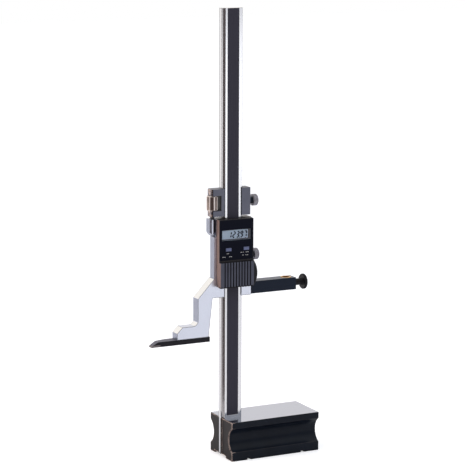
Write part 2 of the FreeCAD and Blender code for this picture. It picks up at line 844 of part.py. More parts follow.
def bulged_outline(y, z0, z1):
    """The battery end's outline, with a bulging right side."""
    mid_z = (z0 + z1) / 2
    low_left = Vector(head_left_x, y, z0)
    high_left = Vector(head_left_x, y, z1)
    low_right = Vector(head_right_x, y, z0)
    high_right = Vector(head_right_x, y, z1)
    crown = Vector(head_right_x + bulge, y, mid_z)
    curves = [
        Part.LineSegment(low_left, low_right),
        Part.Arc(low_right, crown, high_right),
        Part.LineSegment(high_right, high_left),
        Part.LineSegment(high_left, low_left),
    ]
    return Part.Face(Part.Wire([curve.toShape() for curve in curves]))


def panel_area(margin, y0, y1):
    """A block the size of the front panel, drawn in by a margin."""
    return box(head_left_x + margin, head_right_x - margin, y0, y1, panel_bottom_z + margin,
               head_top_z - margin)


def window_area(margin, y0, y1):
    """A block the size of the display's window, drawn in by a margin."""
    left = head_left_x + window_left_from_head
    top = head_top_z - window_top_from_head
    return box(left + margin, left + window_width - margin, y0, y1,
               top - window_height + margin, top - margin)


def button_area(from_head, margin, y0, y1):
    """A block the size of a button, drawn in by a margin."""
    x = head_left_x + from_head
    z = head_top_z - button_below_top
    return box(x - button_width / 2 + margin, x + button_width / 2 - margin, y0, y1,
               z - button_height / 2 + margin, z + button_height / 2 - margin)


def cover_rail(side, grow, far_x):
    """A hooked rail on the back of the battery cover, or the groove that it runs in."""
    if side > 0:
        root = panel_bottom_z - cover_end_gap - tongue_from_edge
    else:
        root = head_bottom_z + tongue_from_edge
    start_y = head_front_y - cover_gap - grow
    end_y = head_front_y - cover_gap + tongue_depth + grow
    hook_y = head_front_y - cover_gap + tongue_depth - tongue_foot_depth - grow
    inner = root - side * (tongue_neck + grow)
    outer = root + side * grow
    hook = root + side * (tongue_foot + grow)
    return bar_yz([
        (start_y, inner),
        (end_y, inner),
        (end_y, hook),
        (hook_y, hook),
        (hook_y, outer),
        (start_y, outer),
    ], head_left_x + side_wall - grow, far_x)


def make_head_housing():
    """The display unit's housing: electronics room above, battery pocket below."""
    depth = Vector(0, head_depth, 0)
    lower = bulged_outline(head_front_y, head_bottom_z, panel_bottom_z).extrude(depth)
    upper = panel_area(0, head_front_y, slide_front_y)
    top_corners = edges_along_y(upper, head_left_x, head_top_z)
    top_corners += edges_along_y(upper, head_right_x, head_top_z)
    upper = upper.makeFillet(head_corner_radius, top_corners)
    housing = lower.fuse(upper).removeSplitter()
    housing = housing.cut(panel_area(panel_margin, head_front_y - 1, wall_front_y))
    room = panel_area(side_wall, board_front_y, slide_front_y + 1)
    ledge = box(head_left_x + side_wall, head_right_x - side_wall, wall_back_y, board_front_y,
                panel_bottom_z + side_wall + board_ledge, head_top_z - side_wall - board_ledge)
    room = room.fuse(ledge)
    for x, z in upper_screw_places():
        room = room.cut(square_post(head_post_width, x, z, wall_back_y - 1, slide_front_y + 1))
    housing = housing.cut(room)
    housing = housing.cut(window_area(0, wall_front_y - 1, wall_back_y + 1))
    for from_head in (left_button_from_head, right_button_from_head):
        housing = housing.cut(button_area(from_head, 0, wall_front_y - 1, wall_back_y + 1))
    for x, z in head_screw_places():
        housing = housing.cut(rod(head_screw_radius + seat_clearance,
                                  Vector(x, slide_front_y - head_screw_bite, z), back, head_depth))
    housing = housing.cut(battery_pocket())
    for side in (-1, 1):
        housing = housing.cut(cover_rail(side, tongue_clearance, head_right_x + bulge + 1))
    return housing.cut(corner_facet())


def battery_pocket():
    """The round pocket, the contact's way up to the board and the side contact's niche."""
    pocket_radius = battery_radius + battery_clearance
    pocket = rod(pocket_radius, Vector(battery_x, head_front_y - 1, battery_z), back,
                 pocket_floor_y - head_front_y + 1)
    half = contact_width / 2 + face_gap
    way = box(battery_x - half, battery_x + half, battery_back_y - face_gap, pocket_floor_y,
              battery_z, board_way_z)
    niche = box(battery_x, battery_x + pocket_radius + contact_thickness, battery_front_y,
                pocket_floor_y, battery_z - half, battery_z + half)
    return pocket.fuse(way).fuse(niche)


def corner_facet():
    """What the shallow facet takes off the housing's lower left rear corner."""
    high = Vector(head_left_x, slide_front_y, head_bottom_z + facet_height)
    front = Vector(head_left_x, head_front_y, head_bottom_z)
    inner = Vector(head_left_x + facet_inset, slide_front_y, head_bottom_z)
    normal = (inner - high).cross(front - high)
    if normal.x > 0:
        normal = normal * -1
    size = 3 * facet_height
    block = Part.makeBox(size, size, facet_height, Vector(-size / 2, -size / 2, 0))
    block.Placement = FreeCAD.Placement(high, FreeCAD.Rotation(up, normal))
    return block


def make_front_panel():
    """The glossy front plate, with the display's opening and the button holes."""
    panel = panel_area(panel_margin + panel_fit, head_front_y, wall_front_y)
    panel = panel.cut(window_area(0, head_front_y - 1, wall_front_y + 1))
    for from_head in (left_button_from_head, right_button_from_head):
        panel = panel.cut(button_area(from_head, 0, head_front_y - 1, wall_front_y + 1))
    return panel


def display_area(rim, y0, y1):
    """A block the size of the display behind the window."""
    return window_area(-rim, y0, y1)


def make_elastomer_connectors():
    """The two strips that join the display to the board."""
    start_y = wall_back_y + display_thickness
    span = display_area(display_rim - face_gap, start_y, board_front_y).BoundBox
    low = box(span.XMin, span.XMax, start_y, board_front_y, span.ZMin, span.ZMin + connector_width)
    high = box(span.XMin, span.XMax, start_y, board_front_y, span.ZMax - connector_width, span.ZMax)
    return Part.makeCompound([low, high])


def make_circuit_board():
    """The board, on the housing's ledges, notched round the two upper screw posts."""
    edge = side_wall + board_edge_clearance
    board = panel_area(edge, board_front_y, board_front_y + board_thickness)
    notch_width = head_post_width + 2 * board_edge_clearance
    for x, z in upper_screw_places():
        board = board.cut(square_post(notch_width, x, z, board_front_y - 1,
                                      board_front_y + board_thickness + 1))
    return board


def make_read_head():
    """The sensor plate that faces the scale strip."""
    mid_z = (panel_bottom_z + head_top_z) / 2
    return box(beam_x - read_head_width / 2, beam_x + read_head_width / 2, read_head_front_y,
               read_head_front_y + read_head_thickness, mid_z - read_head_height / 2,
               mid_z + read_head_height / 2)


def make_tactile_switches():
    """The two switches under the buttons."""
    switches = []
    z = head_top_z - button_below_top
    for from_head in (left_button_from_head, right_button_from_head):
        x = head_left_x + from_head
        top_y = board_front_y - switch_thickness
        body = square_post(switch_size, x, z, top_y, board_front_y)
        plunger = square_post(switch_plunger_width, x, z, top_y - switch_plunger_height, top_y)
        switches.append(body.fuse(plunger))
    return Part.makeCompound(switches)


def make_button(from_head):
    """A push button: cap through the panel, flange behind the wall, stem to the switch."""
    cap = button_area(from_head, button_fit, head_front_y - button_proud, wall_back_y + button_fit)
    flange_y = wall_back_y + button_fit
    flange = button_area(from_head, -button_flange, flange_y, flange_y + button_flange)
    stem_y = flange_y + button_flange
    plunger_y = board_front_y - switch_thickness - switch_plunger_height
    stem = square_post(button_stem_width, head_left_x + from_head, head_top_z - button_below_top,
                       stem_y, plunger_y - switch_gap - button_travel)
    return cap.fuse(flange).fuse(stem)


def make_head_screws():
    """The four cap screws from the slider's back into the display unit."""
    screws = []
    seat_y = slide_back_y - head_screw_head_height
    length = seat_y - slide_front_y + head_screw_bite - screw_end_gap
    for x, z in head_screw_places():
        screws.append(cap_screw(head_screw_radius, head_screw_head_radius, head_screw_head_height,
                                Vector(x, seat_y, z), Vector(0, -1, 0), length))
    return Part.makeCompound(screws)


def make_battery_cover():
    """The ribbed cover, with hooked rails that slide along the housing to the right."""
    back_y = head_front_y - cover_gap
    front_y = back_y - cover_thickness
    top_z = panel_bottom_z - cover_end_gap
    outline = bulged_outline(front_y, head_bottom_z, top_z)
    cover = outline.extrude(Vector(0, cover_thickness, 0))
    bulged_edges = []
    for edge in cover.Edges:
        span = edge.BoundBox
        if span.YMax < front_y + 1e-3 and span.XMin > head_right_x - 1e-3 and span.XLength > 1:
            bulged_edges.append(edge)
    cover = cover.makeChamfer(cover_edge_bevel, bulged_edges)
    first_x = head_left_x + first_groove_from_left
    for number in range(rib_grooves):
        x = first_x + number * rib_pitch
        half = rib_groove_width / 2
        groove = post_xy([
            (x - half, front_y - 1),
            (x + half, front_y - 1),
            (x + half, front_y),
            (x + half / 2, front_y + rib_groove_depth),
            (x - half / 2, front_y + rib_groove_depth),
            (x - half, front_y),
        ], head_bottom_z - 1, top_z + 1)
        cover = cover.cut(groove)
    for side in (-1, 1):
        cover = cover.fuse(cover_rail(side, 0, head_right_x))
    return cover.removeSplitter()


def make_battery():
    """The coin cell, with its narrower negative face towards the floor contact."""
    can = rod(battery_radius, Vector(battery_x, battery_front_y, battery_z), back,
              battery_thickness - battery_step)
    cap = rod(battery_radius - battery_step, Vector(battery_x, battery_back_y - battery_step, battery_z),
              back, battery_step)
    return can.fuse(cap)


def make_battery_contacts():
    """The floor contact, bent up to the board, and the leaf at the cell's side."""
    half = contact_width / 2
    strip = box(battery_x - half, battery_x + half, battery_back_y, pocket_floor_y,
                battery_z - contact_past_centre, board_way_z)
    tail = box(battery_x - half, battery_x + half, battery_back_y, board_front_y,
               board_way_z - contact_thickness, board_way_z)
    leaf_x = battery_x + battery_radius + battery_clearance
    leaf = box(leaf_x, leaf_x + contact_thickness, battery_front_y, pocket_floor_y,
               battery_z - half, battery_z + half)
    return Part.makeCompound([strip.fuse(tail), leaf])


def make_pieces():
    """Every piece of the height gauge, by the name of its file."""
    return {
        "base_block": make_base_block(),
        "column_beam": make_column_beam(),
        "scale_strip": make_scale_strip(),
        "column_screws": make_column_screws(),
        "clamp_carriage": make_clamp_carriage(),
        "carriage_gib": make_gib(carriage_bottom_z, carriage_top_z),
        "carriage_clamp_screw": make_thumb_screw(carriage_right_x,
                                                 carriage_bottom_z + carriage_thumb_height),
        "fine_adjust_nut": make_fine_adjust_nut(),
        "fine_adjust_screw": make_fine_adjust_screw(),
        "slider_frame": make_slider_frame(),
        "slider_gib": make_gib(slider_bottom_z, slider_top_z),
        "gib_set_screws": make_gib_set_screws(),
        "slider_clamp_screw": make_thumb_screw(slider_right_x, slider_bottom_z + slider_thumb_height),
        "scriber": make_scriber(),
        "scriber_tip": make_scriber_tip(),
        "scriber_screws": make_scriber_screws(),
        "indicator_bar": make_indicator_bar(),
        "indicator_bar_screws": make_indicator_bar_screws(),
        "clamp_bush": make_clamp_bush(),
        "indicator_clamp_knob": make_indicator_clamp_knob(),
        "head_housing": make_head_housing(),
        "head_screws": make_head_screws(),
        "front_panel": make_front_panel(),
        "display_window": window_area(window_fit, head_front_y, wall_back_y),
        "display_module": display_area(display_rim, wall_back_y, wall_back_y + display_thickness),
        "elastomer_connectors": make_elastomer_connectors(),
        "circuit_board": make_circuit_board(),
        "tactile_switches": make_tactile_switches(),
        "read_head": make_read_head(),
        "left_button": make_button(left_button_from_head),
        "right_button": make_button(right_button_from_head),
        "battery_cover": make_battery_cover(),
        "battery": make_battery(),
        "battery_contacts": make_battery_contacts(),
    }


os.makedirs("parts", exist_ok=True)
for name, shape in make_pieces().items():
    shape.exportStep(os.path.join("parts", name + ".step"))
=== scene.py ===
import json
import math

import bmesh
import bpy
from mathutils import Matrix, Vector

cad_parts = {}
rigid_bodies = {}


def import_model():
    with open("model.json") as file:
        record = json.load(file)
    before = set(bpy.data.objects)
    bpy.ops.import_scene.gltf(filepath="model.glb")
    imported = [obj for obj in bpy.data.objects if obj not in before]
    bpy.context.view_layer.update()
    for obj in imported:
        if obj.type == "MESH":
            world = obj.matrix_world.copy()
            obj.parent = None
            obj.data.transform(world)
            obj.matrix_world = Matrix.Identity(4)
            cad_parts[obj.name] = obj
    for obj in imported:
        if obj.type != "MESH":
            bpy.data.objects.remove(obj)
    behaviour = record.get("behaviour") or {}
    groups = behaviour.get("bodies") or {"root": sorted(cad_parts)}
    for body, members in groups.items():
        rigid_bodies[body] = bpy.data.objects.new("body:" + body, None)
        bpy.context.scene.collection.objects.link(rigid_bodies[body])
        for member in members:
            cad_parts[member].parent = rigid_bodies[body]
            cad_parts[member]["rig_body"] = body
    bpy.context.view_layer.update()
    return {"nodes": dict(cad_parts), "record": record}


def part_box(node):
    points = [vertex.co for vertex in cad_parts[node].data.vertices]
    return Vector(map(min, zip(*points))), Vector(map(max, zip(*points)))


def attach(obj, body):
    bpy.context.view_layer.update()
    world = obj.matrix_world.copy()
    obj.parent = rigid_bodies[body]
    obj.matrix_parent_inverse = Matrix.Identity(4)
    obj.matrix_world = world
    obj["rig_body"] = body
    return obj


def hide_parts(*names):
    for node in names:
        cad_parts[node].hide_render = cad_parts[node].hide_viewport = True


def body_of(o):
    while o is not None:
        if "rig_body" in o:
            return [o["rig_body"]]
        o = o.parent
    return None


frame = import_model()

MM = 0.001
NODES = frame["nodes"]
MATERIALS = {}

# Camera, fitted to the photograph
PHOTO_SIDE = 467
FOCAL_PIXELS = 2001.0
CAMERA_TARGET = Vector((-37.82, -1.25, 233.1)) * MM
CAMERA_DISTANCE = 2037.1 * MM
CAMERA_AZIMUTH = 0.468
CAMERA_ELEVATION = 0.175
CAMERA_ROLL = 0.0032
SENSOR_WIDTH = 36.0

# Surroundings
FLOOR_HALF = 6.0
FLOOR_DROP = 0.05 * MM
PALE = (0.86, 0.86, 0.87)
FLOOR_GLOW = 0.45
# How far in front the floor starts and ends to brighten for reflections
FAR_GLOW_FROM, FAR_GLOW_TO = 1.0, 2.2
SOFT_LIGHT = 0.80
SOFT_COLOUR = (0.94, 0.96, 1.0)
WHITE = (1.0, 1.0, 1.0)
ROOM_BEHIND = (0.90, 0.86, 0.84)
ROOM_FRONT = (0.30, 0.31, 0.34)
ROOM_TOP = (1.0, 0.985, 0.94)
LAMP_TARGET = Vector((-0.03, 0.0, 0.2))
CARD_HIDDEN = ("visible_camera", "visible_diffuse", "visible_shadow", "visible_transmission")

# The values that most of a noise pattern lies between
NOISE_RANGE = (0.3, 0.7)
BEVEL_SAMPLES = 6


# Node helpers

def new_material(name):
    """The node tree and the shader of a new material, which is kept by its name."""
    MATERIALS[name] = bpy.data.materials.new(name)
    MATERIALS[name].use_nodes = True
    tree = MATERIALS[name].node_tree
    return tree, tree.nodes["Principled BSDF"]


def add_node(tree, kind, **settings):
    """A node with its plain attributes set."""
    node = tree.nodes.new(kind)
    for key, value in settings.items():
        setattr(node, key, value)
    return node


def object_position(tree):
    """Where a surface point lies in the row frame, in metres."""
    return add_node(tree, "ShaderNodeTexCoord").outputs["Object"]


def axes_of(tree, vector):
    """The three parts of a vector, as outputs X, Y and Z."""
    split = add_node(tree, "ShaderNodeSeparateXYZ")
    tree.links.new(vector, split.inputs["Vector"])
    return split.outputs


def position_of(tree):
    """Where a surface point lies, as outputs X, Y and Z."""
    return axes_of(tree, object_position(tree))


def facing_of(tree):
    """The direction that a face points in, as outputs X, Y and Z."""
    return axes_of(tree, add_node(tree, "ShaderNodeNewGeometry").outputs["Normal"])


def faces_left(tree):
    """1 on faces towards -X."""
    return below(tree, facing_of(tree)["X"], -SQUARELY)


def noise(tree, scale, detail=3.0, roughness=0.55):
    """A noise pattern's value, from 0 to 1; a scale for each axis draws it out."""
    place = object_position(tree)
    if isinstance(scale, tuple):
        mapping = add_node(tree, "ShaderNodeMapping", vector_type="POINT")
        mapping.inputs["Scale"].default_value = scale
        tree.links.new(place, mapping.inputs["Vector"])
        place, scale = mapping.outputs["Vector"], 1.0
    texture = add_node(tree, "ShaderNodeTexNoise")
    texture.inputs["Scale"].default_value = scale
    texture.inputs["Detail"].default_value = detail
    texture.inputs["Roughness"].default_value = roughness
    tree.links.new(place, texture.inputs["Vector"])
    return texture.outputs["Fac"]


def ramp(tree, value, low, high, out_low=0.0, out_high=1.0):
    """A value mapped from one range to another and kept inside it."""
    node = add_node(tree, "ShaderNodeMapRange", clamp=True)
    node.inputs["From Min"].default_value = low
    node.inputs["From Max"].default_value = high
    node.inputs["To Min"].default_value = out_low
    node.inputs["To Max"].default_value = out_high
    tree.links.new(value, node.inputs["Value"])
    return node.outputs["Result"]


def math_node(tree, operation, a, b=0.0):
    """A value worked out from one or two values or numbers."""
    node = add_node(tree, "ShaderNodeMath", operation=operation)
    for socket, item in zip(node.inputs, (a, b)):
        if isinstance(item, (int, float)):
            socket.default_value = item
        else:
            tree.links.new(item, socket)
    return node.outputs["Value"]


def times(tree, first, *others):
    """Values or numbers multiplied together."""
    for other in others:
        first = math_node(tree, "MULTIPLY", first, other)
    return first


def above(tree, value, limit):
    """1 where a value is over a limit."""
    return math_node(tree, "GREATER_THAN", value, limit)


def below(tree, value, limit):
    """1 where a value is under a limit."""
    return math_node(tree, "LESS_THAN", value, limit)


def inverse(tree, value):
    """1 minus a value."""
    return math_node(tree, "SUBTRACT", 1.0, value)


def varied(tree, pattern, low=0.0, high=1.0):
    """The usual range of a noise pattern, mapped to another."""
    return ramp(tree, pattern, *NOISE_RANGE, low, high)


def uneven(tree, pattern, level, spread):
    """A level that a noise pattern moves up and down by a share of itself."""
    return varied(tree, pattern, level * (1 - spread), level * (1 + spread))


def mix_shaders(tree, factor, low, high):
    """A shader between two shaders."""
    mix = add_node(tree, "ShaderNodeMixShader")
    for socket, item in zip(mix.inputs, (factor, low, high)):
        tree.links.new(item, socket)
    return mix.outputs["Shader"]


def blend_colours(tree, factor, low, high):
    """A colour between two colours or patterns."""
    node = add_node(tree, "ShaderNodeMix", data_type="RGBA")
    tree.links.new(factor, node.inputs["Factor"])
    for socket, item in ((node.inputs["A"], low), (node.inputs["B"], high)):
        if isinstance(item, tuple):
            socket.default_value = (*item, 1.0)
        else:
            tree.links.new(item, socket)
    return node.outputs["Result"]


def blend_values(tree, factor, low, high):
    """A value between two values."""
    node = add_node(tree, "ShaderNodeMix", data_type="FLOAT")
    tree.links.new(factor, node.inputs["Factor"])
    tree.links.new(low, node.inputs["A"])
    tree.links.new(high, node.inputs["B"])
    return node.outputs["Result"]


def rounded_normal(tree, radius):
    """The surface's normal with its edges rounded by a radius."""
    rounded = add_node(tree, "ShaderNodeBevel", samples=BEVEL_SAMPLES)
    rounded.inputs["Radius"].default_value = radius
    return rounded.outputs["Normal"]


def edge_wear_and_shading(tree, radius, low=0.02, high=0.30):
    """1 on edges and 0 on flat faces, from how far the rounded normal leaves the plain one; it
    places edge wear and painted edge highlights and shade.
    """
    plain = add_node(tree, "ShaderNodeNewGeometry")
    agree = add_node(tree, "ShaderNodeVectorMath", operation="DOT_PRODUCT")
    tree.links.new(rounded_normal(tree, radius), agree.inputs[0])
    tree.links.new(plain.outputs["Normal"], agree.inputs[1])
    return ramp(tree, inverse(tree, agree.outputs["Value"]), low, high)


def relief(tree, shader, height, strength, distance, edge_radius=0.0):
    """Bump from a height pattern, over edges that are rounded by a radius."""
    bump = add_node(tree, "ShaderNodeBump")
    bump.inputs["Strength"].default_value = strength
    bump.inputs["Distance"].default_value = distance
    tree.links.new(height, bump.inputs["Height"])
    if edge_radius:
        tree.links.new(rounded_normal(tree, edge_radius), bump.inputs["Normal"])
    tree.links.new(bump.outputs["Normal"], shader.inputs["Normal"])


def lighter(colour, factor, plus=0.0):
    """A colour made brighter or darker, kept below white."""
    return tuple(min(1.0, part * factor + plus) for part in colour)


# Colours, matched to the photograph where it shows them

SLIDER = (0.77, 0.80, 0.90)
# Painted shade along the slider's edges and on its left sides, and a painted highlight on its
# slopes
SLIDER_EDGE_SHADE = (0.035, 0.03, 0.03)
SLIDER_SIDE_SHADE = (0.36, 0.385, 0.47)
SLIDER_SLOPE_HIGHLIGHT = (0.95, 0.94, 0.925)
BAR = (0.005, 0.009, 0.019)
BAR_EDGE = (0.06, 0.065, 0.08)
# Painted light on the bar's upper faces
BAR_TOP_LIGHT = (0.085, 0.095, 0.12)
PAINT = (0.0036, 0.0055, 0.0100)
# Painted warm light on the base's left faces, then worn paint whose pale warm tone is also a
# painted highlight
PAINT_LEFT_LIGHT = (0.008, 0.0055, 0.006)
PAINT_WORN_AND_LIT = (0.60, 0.47, 0.42)
GROUND_TOP = (0.575, 0.61, 0.70)
CARRIAGE = (0.115, 0.118, 0.148)
# Painted shade along the carriage's edges, then mottled painted warm light on its outer left side
CARRIAGE_EDGE_SHADE = (0.03, 0.03, 0.04)
CARRIAGE_LEFT_LIGHT = (0.55, 0.44, 0.40)
NUT = (0.19, 0.15, 0.135)
# Painted highlight on the nut's ridges and chamfers
NUT_HIGHLIGHT = (0.78, 0.70, 0.66)
SCRIBER = (0.017, 0.016, 0.019)
SCRIBER_EDGE = (0.045, 0.04, 0.045)
# Painted light on the scriber's upper faces
SCRIBER_TOP_LIGHT = (0.13, 0.13, 0.155)
BEAM = (0.82, 0.82, 0.84)
# Painted shade on the beam: its edge outlines, its left half's edges, its back left corner and its
# left flange's front
BEAM_OUTLINE_SHADE = (0.16, 0.145, 0.145)
BEAM_EDGE_SHADE = (0.12, 0.11, 0.11)
BEAM_CORNER_SHADE = (0.22, 0.21, 0.21)
FLANGE_SHADE = (0.50, 0.48, 0.48)
HOUSING = (0.020, 0.018, 0.020)
# Painted warm light on the left faces of the housing and of the cover's outer wall
HOUSING_LEFT_LIGHT = (0.155, 0.108, 0.100)
COVER = (0.055, 0.058, 0.080)
# Painted shade in the cover's grooves; the black one is painted shade on the cover's foot and right
# end, the carriage's inner walls and the slider's top
GROOVE_SHADE = (0.006, 0.0055, 0.009)
BLACK_SHADE = (0.006, 0.006, 0.008)
PANEL = (0.0035, 0.0042, 0.0095)
LCD = (0.57, 0.66, 0.74)
SOLDER_MASK = (0.05, 0.24, 0.09)
TRACK = (0.012, 0.11, 0.04)

# Where a finish or a painted light or shade changes on a node, measured from the node's own box
SKIN = 0.02 * MM
COVER_SKIN = 0.15 * MM
COVER_WALL = 1.5 * MM
COVER_END = 5.2 * MM
COVER_FOOT = 1.1 * MM
SIDE_SKIN = 1.0 * MM
BEAM_LEFT_SKIN = 0.3 * MM
FACE_SKIN = 0.5 * MM
BEAM_CORNER_WIDTH = 0.8 * MM
FOOT_BRIGHT_FROM_BACK = (1.6 * MM, 3.9 * MM)

# The least part of a face's normal along an axis with which it faces that way
SQUARELY = 0.6
UPWARD = 0.8

# How far an edge's normal turns within a line that is drawn along it: a painted highlight, or
# painted shade where the edge colour is dark
OUTLINE = (0.01, 0.06)

# Noise scales are in patterns per metre; across ground lines it is this one
GRINDING_SCALE = 9000.0


# Materials

def set_surface(tree, shader, colour, roughness, specular=0.5, metallic=0.0):
    """Links a shader's colour and roughness patterns and sets its plain levels."""
    tree.links.new(colour, shader.inputs["Base Color"])
    tree.links.new(roughness, shader.inputs["Roughness"])
    shader.inputs["Specular IOR Level"].default_value = specular
    shader.inputs["Metallic"].default_value = metallic


def ground_steel(name, colour, roughness, grain, spread=0.07, edge=0.3 * MM, streak=90.0,
                 edge_colour=None, outline=0.3 * MM, lines_deep=0.12):
    """Ground or brushed steel whose fine lines run along one axis: 0 for X, 1 for Y, 2 for Z. Its
    edges carry a painted highlight, or painted shade where a dark edge colour is given.
    """
    tree, shader = new_material(name)
    scale = [GRINDING_SCALE] * 3
    scale[grain] = streak
    lines = noise(tree, tuple(scale), detail=4.0)
    broad = noise(tree, scale=45.0, detail=2.0)
    mixed = math_node(tree, "ADD", times(tree, lines, 0.6), times(tree, broad, 0.4))
    base = blend_colours(tree, ramp(tree, mixed, 0.35, 0.65), lighter(colour, 1.0 - spread), colour)
    # Painted highlight along the edges by default; a dark edge colour paints shade there
    rim = edge_colour or lighter(colour, 1.12)
    set_surface(tree, shader, blend_colours(tree, edge_wear_and_shading(tree, outline, *OUTLINE), base, rim),
                uneven(tree, lines, roughness, 0.2), metallic=1.0)
    relief(tree, shader, lines, strength=lines_deep, distance=0.02 * MM, edge_radius=edge)
    return tree


def blackened_steel(name, colour, edge_colour, roughness, metallic=0.35, edge=0.3 * MM,
                    specular=0.5):
    """Blackened or dark-finished steel, with the finish thinner along its edges; where the edge
    colour is darker than the steel, the edges carry painted shade instead.
    """
    tree, shader = new_material(name)
    grain = noise(tree, scale=3200.0)
    cloud = noise(tree, scale=60.0)
    base = blend_colours(tree, varied(tree, cloud), colour, lighter(colour, 1.25))
    edges = times(tree, edge_wear_and_shading(tree, edge), ramp(tree, cloud, 0.25, 0.6, 0.3, 1.0))
    set_surface(tree, shader, blend_colours(tree, edges, base, edge_colour),
                uneven(tree, grain, roughness, 0.15), specular, metallic)
    relief(tree, shader, grain, strength=0.15, distance=0.03 * MM, edge_radius=edge)
    return tree


def moulded_plastic(name, colour, roughness, specular=0.5, edge=0.3 * MM, edge_colour=None):
    """Moulded plastic with a fine spark-eroded grain, and a painted highlight along its edges
    unless another edge colour is given.
    """
    tree, shader = new_material(name)
    grain = noise(tree, scale=2600.0, detail=2.0)
    cloud = noise(tree, scale=90.0, detail=2.0)
    base = blend_colours(tree, varied(tree, cloud), colour, lighter(colour, 1.18))
    # Painted highlight along the edges, unless another edge colour is given
    rim = edge_colour or lighter(colour, 1.5, 0.01)
    set_surface(tree, shader, blend_colours(tree, edge_wear_and_shading(tree, edge), base, rim),
                uneven(tree, grain, roughness, 0.15), specular)
    relief(tree, shader, grain, strength=0.2, distance=0.04 * MM, edge_radius=edge)
    return tree


def printed(name, colour, roughness=0.55, specular=0.3, along=3000.0):
    """Ink or a coating, with a faint mottle that can be drawn out along the height."""
    tree, shader = new_material(name)
    mottle = noise(tree, (3000.0, 3000.0, along))
    base = blend_colours(tree, varied(tree, mottle), lighter(colour, 0.88), lighter(colour, 1.12))
    set_surface(tree, shader, base, uneven(tree, mottle, roughness, 0.1), specular)


def recolour(tree, factor, colour):
    """Blends another colour into a material where a factor is 1."""
    socket = tree.nodes["Principled BSDF"].inputs["Base Color"]
    tree.links.new(blend_colours(tree, factor, socket.links[0].from_socket, colour), socket)


def scriber_steel():
    """The scriber: blackened, with painted light on its upper faces."""
    tree = blackened_steel("scriber_steel", SCRIBER, SCRIBER_EDGE, 0.36, metallic=0.0,
                           specular=0.03)
    # Painted light on the upward faces
    recolour(tree, ramp(tree, facing_of(tree)["Z"], 0.5, 0.95), SCRIBER_TOP_LIGHT)


def slider_steel():
    """The slider: satin ground, with painted shade along its edges and on its left sides, a painted
    highlight on its upward left slopes, and painted black shade on top beside the housing.
    """
    tree = ground_steel("satin_steel", SLIDER, 0.33, grain=2, spread=0.05, streak=400.0,
                        edge=0.4 * MM, edge_colour=SLIDER_EDGE_SHADE, outline=1.1 * MM)
    at, facing = position_of(tree), facing_of(tree)
    lean, level = 0.4, 0.3
    side = times(tree, below(tree, facing["X"], -lean), below(tree, facing["Z"], level))
    # Painted shade on the left sides
    recolour(tree, side, SLIDER_SIDE_SHADE)
    slope = times(tree, below(tree, facing["X"], -level), above(tree, facing["Z"], lean))
    plain = inverse(tree, edge_wear_and_shading(tree, 0.9 * MM, *OUTLINE))
    # Painted highlight on the upward left slopes, away from the edges
    recolour(tree, times(tree, slope, plain), SLIDER_SLOPE_HIGHLIGHT)
    top = times(tree, above(tree, at["Z"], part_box("slider_frame")[1].z - FACE_SKIN),
                above(tree, at["X"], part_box("head_housing")[0].x + SIDE_SKIN))
    # Painted black shade on the top beside the housing
    recolour(tree, top, BLACK_SHADE)


def bar_steel():
    """The indicator bar: blackened, with painted light on its upper side."""
    tree = blackened_steel("black_steel", BAR, BAR_EDGE, 0.33, metallic=0.0, specular=0.15)
    # Painted light on the upward faces
    recolour(tree, above(tree, facing_of(tree)["Z"], UPWARD), BAR_TOP_LIGHT)


def housing_plastic():
    """The housing: near black, with painted warm light on its left side."""
    tree = moulded_plastic("housing_black", HOUSING, 0.40, specular=0.2)
    # Painted warm light on the left faces
    recolour(tree, faces_left(tree), HOUSING_LEFT_LIGHT)


def cover_plastic():
    """The battery cover: grey lands, with painted shade in its grooves, on its foot and on its
    rounded right end, and painted warm light on its outer left wall.
    """
    tree = moulded_plastic("cover_black", COVER, 0.5, specular=0.2)
    low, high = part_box("battery_cover")
    at = position_of(tree)
    outer = below(tree, at["X"], low.x + COVER_WALL)
    # Painted warm light on the outer wall's left faces
    recolour(tree, times(tree, outer, faces_left(tree)), HOUSING_LEFT_LIGHT)
    sunk = above(tree, at["Y"], low.y + COVER_SKIN)
    # Painted shade in the grooves
    recolour(tree, times(tree, sunk, inverse(tree, outer)), GROOVE_SHADE)
    end = above(tree, at["X"], high.x - COVER_END)
    foot = below(tree, at["Z"], low.z + COVER_FOOT)
    # Painted shade on the rounded right end and the foot
    recolour(tree, math_node(tree, "MAXIMUM", end, foot), BLACK_SHADE)


def carriage_steel():
    """The carriage: dark steel with painted shade along its edges and on its inner walls, and
    mottled painted warm light on its outer left side.
    """
    # Its dark edge colour is painted shade along the edges
    tree = blackened_steel("dark_steel", CARRIAGE, CARRIAGE_EDGE_SHADE, 0.36, metallic=0.9)
    side = faces_left(tree)
    inner = above(tree, position_of(tree)["X"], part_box("clamp_carriage")[0].x + SIDE_SKIN)
    # Painted black shade on the inner left walls
    recolour(tree, times(tree, side, inner), BLACK_SHADE)
    mottle = ramp(tree, noise(tree, scale=420.0), 0.42, 0.60)
    # Mottled painted warm light on the outer left side
    recolour(tree, times(tree, side, inverse(tree, inner), mottle), CARRIAGE_LEFT_LIGHT)


